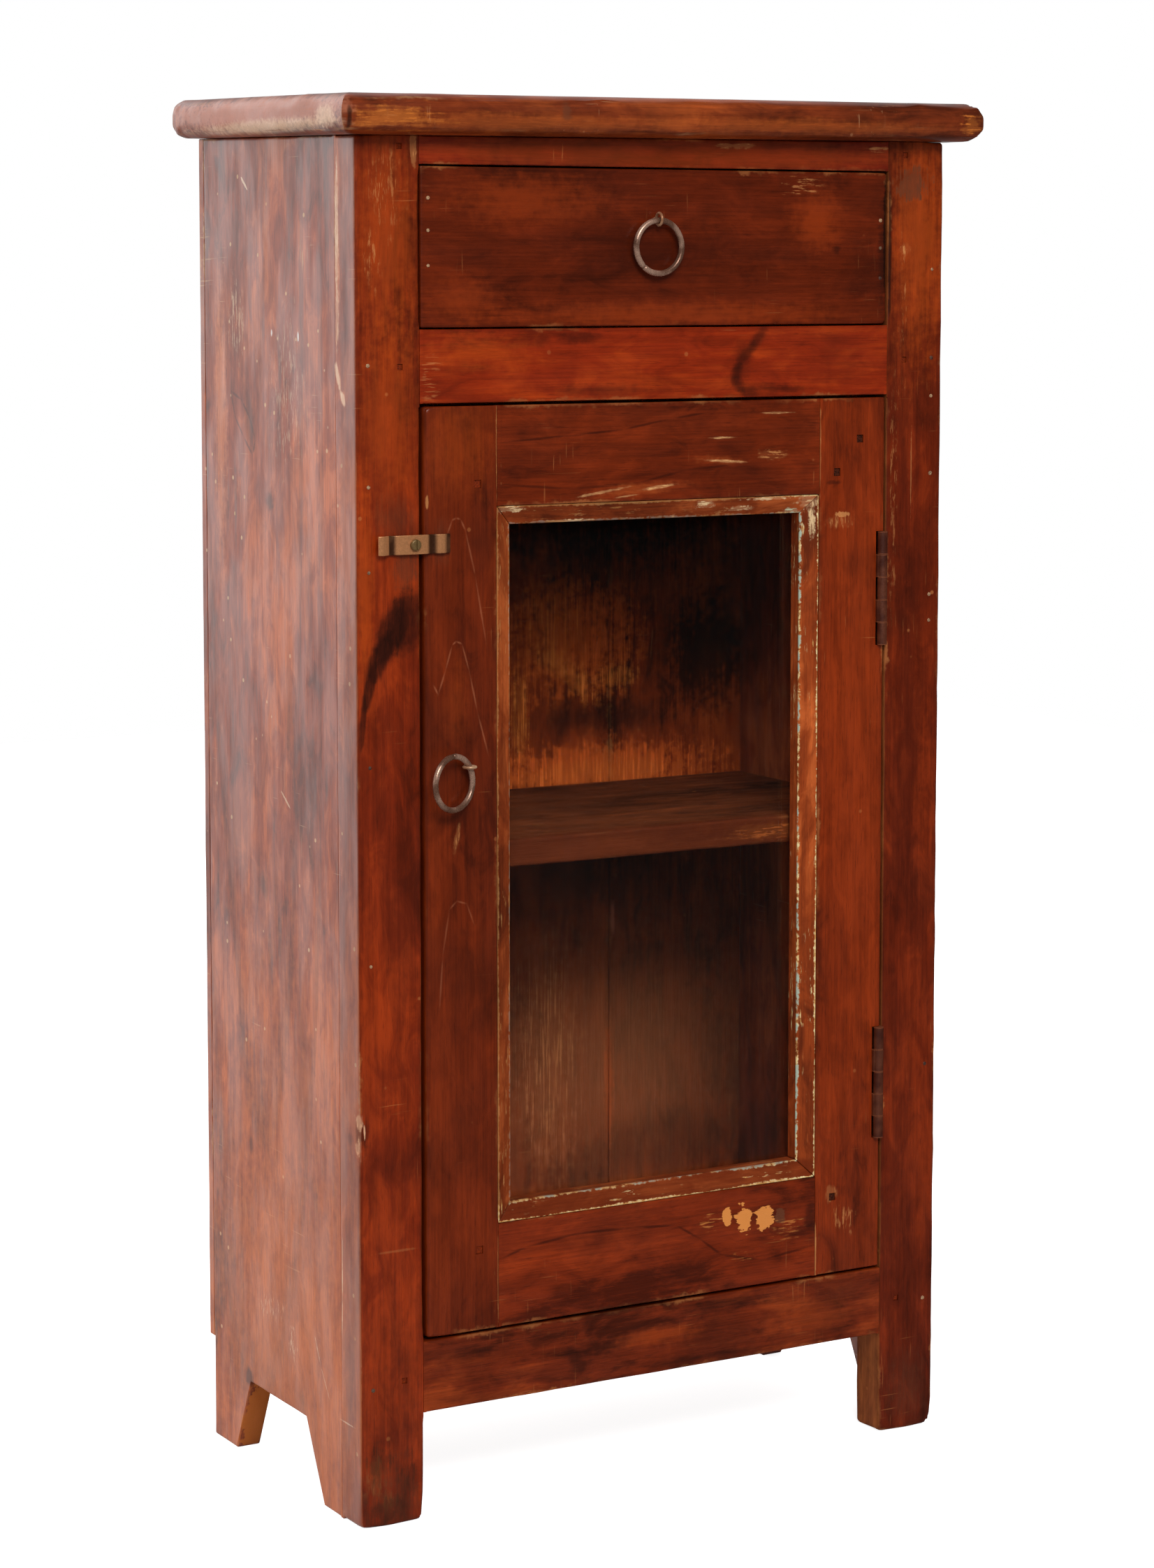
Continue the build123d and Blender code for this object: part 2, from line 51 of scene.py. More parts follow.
foot_cut_fades_by = 0.24


def ripple(places, size, seed):
    """Smooth random numbers, about -1 to 1, that change over the given size."""
    shift = Vector((seed * 7.31, seed * 3.77, seed * 5.13))
    return np.array([noise.noise(Vector(place) / size + shift) for place in places])


def edge_lines(low, high, step, extra=()):
    """Grid lines across a board, close together at both edges, where it is worn round."""
    room = (high - low) / 2
    near = [gap for gap in (0, 0.0004, 0.001, 0.0018, 0.003, 0.005, 0.008) if gap < room * 0.8]
    start, end = low + near[-1], high - near[-1]
    count = max(2, int((end - start) / step) + 1)
    lines = [low + gap for gap in near] + [high - gap for gap in near]
    lines += list(np.linspace(start, end, count)[1:-1]) + [line for line in extra if start < line < end]
    return np.unique(np.round(lines, 5))


def box_skin(lines):
    """Corner places and four-sided faces of a box's outside, cut along the given lines."""
    counts = [len(line) for line in lines]
    outside = np.ones(counts, bool)
    outside[1:-1, 1:-1, 1:-1] = False
    numbers = np.full(counts, -1)
    numbers[outside] = np.arange(outside.sum())
    places = np.stack(np.meshgrid(*lines, indexing="ij"), -1)[outside]
    faces = []
    for axis in range(3):
        for end in (0, -1):
            sheet = np.take(numbers, end, axis=axis)
            corners = [sheet[:-1, :-1], sheet[1:, :-1], sheet[1:, 1:], sheet[:-1, 1:]]
            quads = np.stack(corners, -1).reshape(-1, 4)
            turned = (end == 0) != (axis == 1)
            faces += (quads[:, ::-1] if turned else quads).tolist()
    return places, faces


def plain_back(places, faces):
    """The same skin with its back as one flat face."""
    x, y, z = places.T
    at_back = y == y.max()
    inside = at_back & (x > x.min()) & (x < x.max()) & (z > z.min()) & (z < z.max())
    numbers = np.cumsum(~inside) - 1
    kept = [numbers[quad].tolist() for quad in faces if not at_back[quad].all()]
    x, y, z = places[~inside].T
    rim = np.flatnonzero(y == y.max())
    around = np.arctan2(x[rim] - (x.min() + x.max()) / 2, z[rim] - (z.min() + z.max()) / 2)
    return places[~inside], kept + [rim[np.argsort(around)].tolist()]


def worn_board(low, high, grain, seed, heart=(0.12, 0.1), middle=None, radius=0.0014, step=0.012,
               wave=0.0003, chips=(), lines=None, beside=(), mitred=False, square_back=False):
    """A board between two corners, its arrises worn unevenly round and its faces slightly wavy.

    grain names the axes along, across and through the board. heart is where the tree's heart lay, across
    from the board's middle and behind it. Each chip is a place, a size and a depth. No arris is worn
    where the board meets one of the boards beside it.
    """
    low, high = np.array(low), np.array(high)
    extra = {axis: list((lines or {}).get(axis, ())) for axis in range(3)}
    touch = 0.002
    for other in beside:
        for axis in range(3):
            extra[axis] += [other[0][axis] - touch, other[1][axis] + touch]
    places, faces = box_skin([edge_lines(low[axis], high[axis], step, extra[axis]) for axis in range(3)])
    if square_back:
        places, faces = plain_back(places, faces)
    edge = np.sort(np.minimum(places - low, high - places), axis=1)[:, 1]
    wear = radius * (1 + 0.45 * ripple(places, 0.03, seed) + 0.25 * ripple(places, 0.008, seed + 1))
    for spot, size, depth in chips:
        away = np.linalg.norm((places - np.array(spot)) / np.array(size), axis=1)
        wear += depth * np.exp(-away ** 2) * (0.75 + 0.5 * ripple(places, 0.006, seed + 2))
    for other in beside:
        reached = (places > np.array(other[0]) - touch * 1.1) & (places < np.array(other[1]) + touch * 1.1)
        met = np.all(reached, axis=1)
        wear[met] = 0.0003
        edge[met] = touch * 5
    wear = np.clip(wear, 0.0002, (high - low).min() * 0.45)[:, None]
    core_low, core_high = low + wear, high - wear
    if square_back:
        core_high[:, 1] = high[1]
    core = np.clip(places, core_low, core_high)
    reach = places - core
    length = np.linalg.norm(reach, axis=1)
    if mitred:
        length = np.hypot(np.abs(reach[:, :2]).max(axis=1), reach[:, 2])
    outward = reach / np.maximum(length, 1e-9)[:, None]
    dip = wave * 0.5 * (1 - ripple(places, 0.07, seed + 3))[:, None]
    axes = ["xyz".index(letter) for letter in grain]
    middle = (low + high) / 2 if middle is None else np.array(middle)
    origin = middle[axes] + np.array([0, *heart])
    return {
        "places": core + outward * (wear - dip),
        "faces": faces,
        "grain": places[:, axes] - origin,
        "edge": edge,
        "timber": np.full(len(places), seed * 1.7),
        "axes": axes,
        "origin": origin,
    }


def set_attribute(mesh, name, kind, values):
    """Give each point of a mesh a value that its material can read."""
    made = mesh.attributes.get(name) or mesh.attributes.new(name, kind, "POINT")
    field = "vector" if kind == "FLOAT_VECTOR" else "value"
    made.data.foreach_set(field, np.ravel(values).astype(np.float32))


def new_mesh(name, places, faces):
    """A mesh from its corner places and the corners of its faces."""
    mesh = bpy.data.meshes.new(name)
    mesh.from_pydata(places, [], faces)
    return mesh


def put(name, data):
    """A new object in the scene."""
    made = bpy.data.objects.new(name, data)
    bpy.context.scene.collection.objects.link(made)
    return made


def make_piece(name, boards, finish, body, slot, *nodes):
    """One object from one or more boards, which rides on a body and stands for the CAD nodes named."""
    faces, start = [], 0
    for board in boards:
        faces += [[corner + start for corner in corners] for corners in board["faces"]]
        start += len(board["places"])
    mesh = new_mesh(name, np.concatenate([board["places"] for board in boards]), faces)
    for key, kind in (("grain", "FLOAT_VECTOR"), ("edge", "FLOAT"), ("timber", "FLOAT")):
        set_attribute(mesh, key, kind, np.concatenate([board[key] for board in boards]))
    mesh.shade_smooth()
    mesh.materials.append(finish)
    piece = put(name, mesh)
    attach(piece, body)
    if nodes:
        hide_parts(*nodes)
    return piece


def tint(red, green, blue):
    """A colour from its screen values, 0 to 255, as the shaders take it."""
    return tuple(((value / 255 + 0.055) / 1.055) ** 2.4 for value in (red, green, blue)) + (1,)


def feed(tree, node, inputs):
    """Link each named socket of a node to another one, or set its value."""
    for key, value in inputs.items():
        if isinstance(value, bpy.types.NodeSocket):
            tree.links.new(value, node.inputs[key])
        else:
            node.inputs[key].default_value = value


def add(tree, kind, inputs=None, **options):
    """A shader node with its options and inputs set."""
    made = tree.nodes.new(kind)
    for key, value in options.items():
        setattr(made, key, value)
    feed(tree, made, inputs or {})
    return made


def math(tree, operation, *values):
    return add(tree, "ShaderNodeMath", dict(enumerate(values)), operation=operation).outputs[0]


def vectors(tree, operation, *values):
    """Arithmetic with places and directions."""
    return add(tree, "ShaderNodeVectorMath", dict(enumerate(values)), operation=operation).outputs


def fold(tree, operation, first, *others):
    """Several values taken together, two at a time."""
    for other in others:
        first = math(tree, operation, first, other)
    return first


def product(tree, *values):
    return fold(tree, "MULTIPLY", *values)


def total(tree, *values):
    return fold(tree, "ADD", *values)


def largest(tree, *values):
    return fold(tree, "MAXIMUM", *values)


def centred(tree, value):
    """Noise from 0 to 1, moved to lie about zero."""
    return math(tree, "SUBTRACT", value, 0.5)


def rest(tree, value):
    """What a share leaves of one."""
    return math(tree, "SUBTRACT", 1.0, value)


def scaled(tree, vector, factors):
    return vectors(tree, "MULTIPLY", vector, factors)[0]


def split(tree, vector):
    """The three parts of a vector."""
    return add(tree, "ShaderNodeSeparateXYZ", {0: vector}).outputs


def surface(tree):
    """Places on a piece's surface, in the cabinet's frame."""
    return add(tree, "ShaderNodeTexCoord").outputs["Object"]


def attribute(tree, name, kind="Fac"):
    return add(tree, "ShaderNodeAttribute", attribute_name=name).outputs[kind]


def cloud(tree, vector, size=1.0, detail=2.0, roughness=0.5, distortion=0.0):
    inputs = {"Vector": vector, "Scale": size, "Detail": detail, "Roughness": roughness}
    return add(tree, "ShaderNodeTexNoise", {**inputs, "Distortion": distortion}).outputs["Fac"]


def drawn_out(tree, vector, along, across, *noise_options):
    """Noise stretched along the grain."""
    return cloud(tree, scaled(tree, vector, (along, across, across)), 1, *noise_options)


def between(tree, value, low, high, to_low=0.0, to_high=1.0):
    """Where a value lies between two limits, eased at both ends."""
    inputs = {"Value": value, "From Min": low, "From Max": high, "To Min": to_low, "To Max": to_high}
    return add(tree, "ShaderNodeMapRange", inputs, interpolation_type="SMOOTHSTEP").outputs[0]


def blend(tree, factor, under, over, kind="MIX"):
    inputs = {0: factor, 6: under, 7: over}
    return add(tree, "ShaderNodeMix", inputs, data_type="RGBA", blend_type=kind).outputs[2]


def dimmed(tree, colour, value):
    """A colour made darker or lighter by a value."""
    grey = add(tree, "ShaderNodeCombineColor", {0: value, 1: value, 2: value}).outputs[0]
    return blend(tree, 1.0, colour, grey, "MULTIPLY")


def bumped(tree, shader, height, strength, distance):
    """Let a height show as relief."""
    relief = add(tree, "ShaderNodeBump", {"Height": height, "Strength": strength, "Distance": distance})
    feed(tree, shader, {"Normal": relief.outputs[0]})


def effect(name, inputs, outputs):
    """An empty node group with named sockets, and its two ends."""
    tree = bpy.data.node_groups.new(name, "ShaderNodeTree")
    for in_out, labels in (("INPUT", inputs), ("OUTPUT", outputs)):
        for label, kind in labels.items():
            tree.interface.new_socket(label, in_out=in_out, socket_type=f"NodeSocket{kind}")
    return tree, tree.nodes.new("NodeGroupInput").outputs, tree.nodes.new("NodeGroupOutput")


def sockets(kind, *labels):
    """Sockets of one kind, for an effect."""
    return {label: kind for label in labels}


def teak_figure():
    """Growth rings round the tree's heart, with streaks, fibres and pores.

    Grain is a place along, across and through the board.
    """
    inputs = {"Grain": "Vector", **sockets("Color", "Dark", "Mid", "Light", "Line")}
    inputs.update(sockets("Float", "Timber", "Spacing", "Taper", "Figure", "Fine"))
    tree, given, result = effect("teak_figure", inputs, {"Color": "Color", "Height": "Float"})
    shift = add(tree, "ShaderNodeCombineXYZ", {axis: given["Timber"] for axis in range(3)}).outputs[0]
    place = vectors(tree, "ADD", given["Grain"], shift)[0]
    along, across, through = split(tree, given["Grain"])
    sway = centred(tree, cloud(tree, scaled(tree, place, (2.2, 1, 1)), 1, 1))
    across = total(tree, across, product(tree, sway, 0.04))
    through = total(tree, through, product(tree, along, given["Taper"]))
    squares = [product(tree, part, part) for part in (across, through)]
    radius = math(tree, "SQRT", total(tree, *squares))
    waver = centred(tree, drawn_out(tree, place, 5, 30, 1, 0.5))
    rings = math(tree, "DIVIDE", total(tree, radius, product(tree, waver, 0.006)), given["Spacing"])
    share, year = math(tree, "FRACT", rings), math(tree, "FLOOR", rings)
    chance = add(tree, "ShaderNodeTexWhiteNoise", {"W": year}, noise_dimensions="1D").outputs[0]
    late = product(tree, between(tree, share, given["Fine"], 0.93), between(tree, share, 0.93, 1.0, 1, 0))
    late = product(tree, late, between(tree, chance, 0.0, 1.0, 0.25, 1.0), given["Figure"])
    fibres = drawn_out(tree, place, 16, 620, 2.0, 0.6)
    pores = drawn_out(tree, place, 85, 1300, 1.0)
    broad = drawn_out(tree, place, 5, 11, 2.0, 0.5)
    mottle = drawn_out(tree, place, 26, 62, 4.0, 0.62, 0.8)
    streaks = drawn_out(tree, place, 7, 140, 3.0, 0.55)
    shares = ((broad, 0.44), (mottle, 0.38), (streaks, 0.18))
    tone = total(tree, *[product(tree, noise_value, weight) for noise_value, weight in shares])
    colour = blend(tree, between(tree, tone, 0.48, 0.62), given["Mid"], given["Light"])
    colour = blend(tree, between(tree, tone, 0.37, 0.5, 0.85, 0), colour, given["Dark"])
    colour = blend(tree, late, colour, given["Line"])
    colour = dimmed(tree, colour, between(tree, fibres, 0.3, 0.7, 0.88, 1.12))
    colour = blend(tree, between(tree, pores, 0.62, 0.74, 0, 0.4), colour, given["Dark"])
    colour = blend(tree, between(tree, pores, 0.27, 0.37, 0.22, 0), colour, given["Light"])
    height = math(tree, "SUBTRACT", fibres, between(tree, pores, 0.6, 0.74, 0, 0.6))
    feed(tree, result, {"Color": colour, "Height": height})
    return tree


def old_polish():
    """What years of use do to polished wood: rubbed arrises, grime, pale scratches and specks of paint."""
    inputs = {"Place": "Vector", **sockets("Color", "Color", "Bare", "Soot")}
    inputs.update(sockets("Float", "Edge", "Wear", "Grime", "Scars", "Specks"))
    tree, given, result = effect("old_polish", inputs, {"Color": "Color", "Dull": "Float"})
    place = given["Place"]
    rough = centred(tree, cloud(tree, place, 110, 4, 0.65))
    reach = total(tree, given["Edge"], product(tree, rough, 0.012))
    worn_here = between(tree, cloud(tree, place, 13, 3, 0.6), 0.5, 0.66)
    rubbed = product(tree, between(tree, reach, 0.0, 0.0028, 1, 0), worn_here, given["Wear"])
    smoke = between(tree, cloud(tree, place, 10, 5, 0.62), 0.48, 0.74)
    corners = between(tree, reach, 0.0, 0.005, 0.45, 0)
    soot = product(tree, largest(tree, smoke, corners), given["Grime"])
    where = between(tree, cloud(tree, place, 14, 2), 0.54, 0.66)
    level = between(tree, cloud(tree, scaled(tree, place, (26, 26, 620)), 1, 1), 0.68, 0.76)
    upright = between(tree, cloud(tree, scaled(tree, place, (560, 560, 30)), 1, 1), 0.68, 0.76)
    scars = product(tree, largest(tree, level, upright), where, given["Scars"])
    cells = add(tree, "ShaderNodeTexVoronoi", {"Vector": place, "Scale": 46.0}).outputs
    pick = add(tree, "ShaderNodeSeparateColor", {0: cells["Color"]}).outputs[0]
    specks = between(tree, cells["Distance"], 0.05, 0.09, 1, 0)
    specks = product(tree, specks, between(tree, pick, 0.72, 0.8), given["Specks"])
    bare = largest(tree, rubbed, scars, specks)
    colour = blend(tree, soot, given["Color"], given["Soot"])
    feed(tree, result, {"Color": blend(tree, bare, colour, given["Bare"]), "Dull": bare})
    return tree


def oval_mark():
    """An oval mark at one place, turned about an axis, with a ragged rim and broken into streaks."""
    inputs = sockets("Vector", "Place", "Middle", "Size", "Axis")
    inputs.update(sockets("Float", "Turn", "Rim", "Ragged", "Soft", "Streak", "Broken"))
    tree, given, result = effect("oval_mark", inputs, {"Mask": "Float"})
    away = vectors(tree, "SUBTRACT", given["Place"], given["Middle"])[0]
    inputs = {"Vector": away, "Axis": given["Axis"], "Angle": given["Turn"]}
    turned = add(tree, "ShaderNodeVectorRotate", inputs).outputs[0]
    share = vectors(tree, "DIVIDE", turned, given["Size"])[0]
    length = vectors(tree, "LENGTH", share)["Value"]
    length = total(tree, length, product(tree, given["Rim"], given["Ragged"]))
    gaps = product(tree, rest(tree, given["Streak"]), given["Broken"])
    inside = between(tree, length, rest(tree, given["Soft"]), 1.03, 1, 0)
    feed(tree, result, {"Mask": product(tree, inside, rest(tree, gaps))})
    return tree


figure_group = teak_figure()
polish_group = old_polish()
mark_group = oval_mark()


def place_group(tree, group, inputs):
    """Use an effect in a material, with its own values."""
    return add(tree, "ShaderNodeGroup", inputs, node_tree=group).outputs


def new_finish(name):
    """A material with its Principled shader, ready for colours."""
    finish = bpy.data.materials.new(name)
    finish.use_nodes = True
    return finish, finish.node_tree, finish.node_tree.nodes["Principled BSDF"]


def mark(middle, size, axis, turn, paint, strength=0.8, ragged=1.0, soft=0.3, broken=0.0):
    """What a material needs to show one mark: its place and shape, its colour and its strength."""
    shape = {"Middle": middle, "Size": size, "Axis": axis, "Turn": radians(turn)}
    return {**shape, "Ragged": ragged, "Soft": soft, "Broken": broken}, paint, strength


def front_mark(x, z, half_x, half_z, *paint, lean=0, at=face, half_in=0.02, **rim):
    """A mark on a surface that faces forwards, leaning to the right by an angle in degrees."""
    return mark((x, at, z), (half_x, half_in, half_z), (0, 1, 0), -lean, *paint, **rim)


def side_mark(back, z, half_back, half_z, *paint, lean=0, at=left_side, half_in=0.003, **rim):
    """A mark on the left side, its distance back from the front, leaning backwards by an angle."""
    return mark((at, face + back, z), (half_in, half_back, half_z), (1, 0, 0), lean, *paint, **rim)


def mark_line(make_mark, points, half_width, paint, strength, overlap=0.62, **options):
    """Narrow marks end to end through a few points, as a growth line or a split shows."""
    marks = []
    for (start, low), (end, high) in zip(points, points[1:]):
        middle = (start + end) / 2, (low + high) / 2
        half_length = hypot(end - start, high - low) * overlap
        lean = degrees(atan2(end - start, high - low))
        marks.append(make_mark(*middle, half_width, half_length, paint, strength, lean=lean, **options))
    return marks


def marked(tree, colour, marks, **around):
    """A colour with marks laid over it, one after another."""
    for shape, paint, strength in marks:
        mask = place_group(tree, mark_group, {**around, **shape})["Mask"]
        colour = blend(tree, product(tree, mask, strength), colour, paint)
    return colour


def teak(name, dark, mid, light, line=None, spacing=0.011, taper=0.12, figure=0.2, fine=0.3,
         bare=tint(196, 122, 68), soot=tint(34, 13, 7), wear=0.5, grime=0.5, scars=0.4, specks=0.4,
         polish=0.8, patchy=0.28, gloss=0.28, bump=0.25, streaks=75, marks=()):
    """Old polished teak, with the marks listed for it; a broken mark's streaks end so often a metre."""
    finish, tree, shader = new_finish(name)
    place = surface(tree)
    grain = attribute(tree, "grain", "Vector")
    wood = place_group(tree, figure_group, {
        "Grain": grain, "Timber": attribute(tree, "timber"), "Dark": dark, "Mid": mid, "Light": light,
        "Line": line or dark, "Spacing": spacing, "Taper": taper, "Figure": figure, "Fine": fine,
    })
    used = place_group(tree, polish_group, {
        "Color": wood["Color"], "Place": place, "Edge": attribute(tree, "edge"), "Bare": bare, "Soot": soot,
        "Wear": wear, "Grime": grime, "Scars": scars, "Specks": specks,
    })
    threads = drawn_out(tree, grain, 26, 330, 3, 0.6)
    rim = math(tree, "SUBTRACT", total(tree, threads, cloud(tree, place, 150, 3, 0.6)), 1.0)
    streak = between(tree, drawn_out(tree, grain, streaks, 620, 3, 0.65), 0.52, 0.6)
    colour = marked(tree, used["Color"], marks, Place=place, Rim=rim, Streak=streak)
    sheen = between(tree, drawn_out(tree, grain, 9, 42, 4, 0.62), 0.36, 0.64, 1 - patchy, 1)
    sheen = product(tree, sheen, rest(tree, used["Dull"]), polish)
    feed(tree, shader, {"Base Color": colour, "Coat Weight": sheen, "Coat Roughness": gloss})
    feed(tree, shader, {"Roughness": 0.7, "Specular IOR Level": 0.0})
    bumped(tree, shader, wood["Height"], bump, 0.0006)
    return finish


pale_wood, white_nick = tint(222, 190, 158), tint(216, 208, 204)
old_knot = tint(62, 26, 18)
orange_wood, salmon_wood, sawn_wood = tint(196, 104, 50), tint(210, 124, 78), tint(186, 102, 40)
# scorch_and_shade darkens burns and also paints shade, as in the gap beside the drawer's right end.
torn_wood, scorch_and_shade = tint(234, 178, 138), tint(34, 14, 8)
loop_right = ((0.2039, 0.789), (0.1966, 0.770), (0.183, 0.757), (0.1673, 0.744))
loop_left = ((0.1673, 0.744), (0.1625, 0.755), (0.172, 0.771), (0.1855, 0.783), (0.2039, 0.789))
seam_nick = ((0.017, 0.7855), (0.0237, 0.7944), (0.0303, 0.8123))
seam_scratch = ((0.0282, 0.2056), (0.0289, 0.157), (0.030, 0.130))
low_scratch = ((0.074, 0.120), (0.064, 0.100), (0.0526, 0.083))
cut_middle = (foot_profile[2][0] + foot_profile[3][0]) / 2
sawn = {"soft": 0.1, "at": left_side + 0.012, "half_in": 0.0118}
on_corner = {"half_in": 0.008}
torn = {"ragged": 2.2, "soft": 0.5, **on_corner}
side_teak = teak(
    "side_teak", tint(84, 37, 26), tint(140, 64, 40), tint(186, 98, 58), spacing=0.03, figure=0.4, fine=0.6,
    bare=pale_wood, wear=0.5, grime=0.25, scars=0.4, specks=0.7, polish=1.0, patchy=0.4,
    marks=(
        side_mark(0.120, 0.080, 0.240, 0.420, tint(206, 114, 56), 0.6, soft=1.0, broken=0.3),
        side_mark(0.010, 0.500, 0.022, 0.900, tint(92, 42, 28), 0.35, soft=0.4),
        side_mark(0.222, 0.770, 0.014, 0.140, salmon_wood, 0.6, soft=0.8, broken=0.2),
        side_mark(0.172, 0.772, 0.010, 0.034, old_knot, 0.45, lean=14, soft=0.8),
        *mark_line(side_mark, loop_right, 0.0016, old_knot, 0.6, soft=0.7),
        *mark_line(side_mark, loop_left, 0.0016, old_knot, 0.6, soft=0.7),
        side_mark(0.139, 0.712, 0.008, 0.009, old_knot, 0.7, soft=0.7),
        side_mark(0.153, 0.433, 0.007, 0.014, old_knot, 0.6, soft=0.8),
        side_mark(0.180, 0.237, 0.005, 0.009, old_knot, 0.6, soft=0.7),
        side_mark(0.186, 0.060, 0.009, 0.009, old_knot, 0.75, soft=0.6),
        side_mark(0.197, 0.708, 0.003, 0.040, old_knot, 0.45, soft=0.8),
        side_mark(0.199, 0.940, 0.014, 0.012, old_knot, 0.35, soft=0.9),
        side_mark(0.100, 0.925, 0.012, 0.040, old_knot, 0.35, soft=0.9, broken=0.3),
        side_mark(0.135, 0.753, 0.012, 0.030, old_knot, 0.35, soft=0.9, broken=0.2),
        side_mark(0.075, 0.640, 0.010, 0.090, old_knot, 0.3, soft=0.9, broken=0.2),
        side_mark(0.205, 0.500, 0.009, 0.110, old_knot, 0.3, soft=0.9, broken=0.2),
        side_mark(0.090, 0.300, 0.016, 0.070, old_knot, 0.25, soft=0.9, broken=0.2),
        side_mark(0.140, 0.890, 0.008, 0.050, orange_wood, 0.5, soft=0.8, broken=0.3),
        side_mark(0.110, 0.600, 0.014, 0.120, orange_wood, 0.4, soft=0.9, broken=0.3),
        side_mark(0.180, 0.350, 0.012, 0.090, orange_wood, 0.45, soft=0.9, broken=0.3),
        side_mark(0.0275, 0.885, 0.0052, 0.085, salmon_wood, 0.6, ragged=1.2, soft=0.7, broken=0.2),
        side_mark(0.0160, 0.870, 0.0060, 0.100, old_knot, 0.3, soft=0.8, broken=0.2),
        side_mark(0.0280, 0.905, 0.0036, 0.048, pale_wood, 0.8, soft=0.5, broken=0.5),
        side_mark(0.0275, 0.845, 0.0030, 0.030, pale_wood, 0.55, soft=0.6, broken=0.7),
        *mark_line(side_mark, seam_nick, 0.0046, salmon_wood, 0.7, ragged=0.8, soft=0.5, broken=0.2),
        *mark_line(side_mark, seam_nick, 0.0034, pale_wood, 0.85, ragged=0.8, soft=0.4, broken=0.3),
        *mark_line(side_mark, seam_scratch, 0.0008, pale_wood, 0.7, soft=0.5, broken=0.5),
        *mark_line(side_mark, low_scratch, 0.0008, pale_wood, 0.6, soft=0.5, broken=0.5),
        side_mark(0.112, 0.106, 0.008, 0.014, pale_wood, 0.55, ragged=2.0, soft=0.6, broken=1.0),
        side_mark(0.150, 0.124, 0.030, 0.010, pale_wood, 0.35, ragged=2.0, soft=0.7, broken=1.0),
        side_mark(0.022, 0.071, 0.012, 0.0008, pale_wood, 0.5, soft=0.5),
        side_mark(0.178, 0.938, 0.009, 0.0012, pale_wood, 0.7, lean=-40),
        side_mark(0.115, 0.500, 0.010, 0.0012, pale_wood, 0.5, lean=-35),
        side_mark(0.1334, 0.832, 0.0018, 0.0034, white_nick, 0.8, soft=0.4),
        side_mark(0.0898, 0.830, 0.0014, 0.0034, white_nick, 0.8, soft=0.4),
        side_mark(0.194, 0.843, 0.014, 0.030, pale_wood, 0.5, ragged=2.0, soft=0.6, broken=1.0),
        side_mark(0.110, 0.790, 0.030, 0.060, pale_wood, 0.3, ragged=2.0, soft=0.7, broken=1.0),
        side_mark(cut_middle, 0.028, 0.022, 0.040, sawn_wood, 0.9, **sawn),
        side_mark(0.192, 0.016, 0.003, 0.004, old_knot, 0.8, soft=0.6, at=left_side + 0.008, half_in=0.006),
        side_mark(0.016, 0.276, 0.007, 0.006, old_knot, 0.4, soft=0.7),
        side_mark(0.003, 0.281, 0.0050, 0.016, scorch_and_shade, 0.45, ragged=1.4, soft=0.7, **on_corner),
        side_mark(0.002, 0.290, 0.0040, 0.0060, torn_wood, 0.8, broken=0.5, **torn),
        side_mark(0.004, 0.270, 0.0036, 0.0080, torn_wood, 0.8, broken=0.6, **torn),
    ),
)


def cut_feet(board):
    """Lift the lower end of a plank to the line of its foot cut-out."""
    places = board["places"]
    depths, heights = zip(*foot_profile)
    lift = np.interp(places[:, 1] - face, depths, heights)
    places[:, 2] += lift * np.clip(1 - places[:, 2] / foot_cut_fades_by, 0, 1)
    return board


top_low, top_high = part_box("top_board")
drawer_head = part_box("top_rail")[0].z
sunk_left, sunk_right = 0.0055, 0.002


def settle(board):
    """Sink a board's upper end with the warped top, which is lowest at its front left corner."""
    x, y, z = board["places"].T
    forward = (top_high.y - y) / (top_high.y - top_low.y)
    rightward = (x - top_low.x) / (top_high.x - top_low.x)
    sunk = forward * (sunk_left + (sunk_right - sunk_left) * rightward)
    z -= sunk * np.clip((z - drawer_head) / (top_low.z - drawer_head), 0, 1)
    return board


foot_lines = [face + depth + side * 0.0008 for depth, height in foot_profile for side in (-1, 0, 1)]
for index, node in enumerate(("side_plank_left", "side_plank_right")):
    stile_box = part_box(node.replace("side_plank", "stile"))
    plank = worn_board(
        *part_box(node), "zyx", 1 + index, heart=(0.02, 0.05), radius=0.0016,
        lines={1: foot_lines}, beside=[stile_box],
    )
    make_piece(f"{node}_board", [settle(cut_feet(plank))], side_teak, "carcass", "teak_side", node)

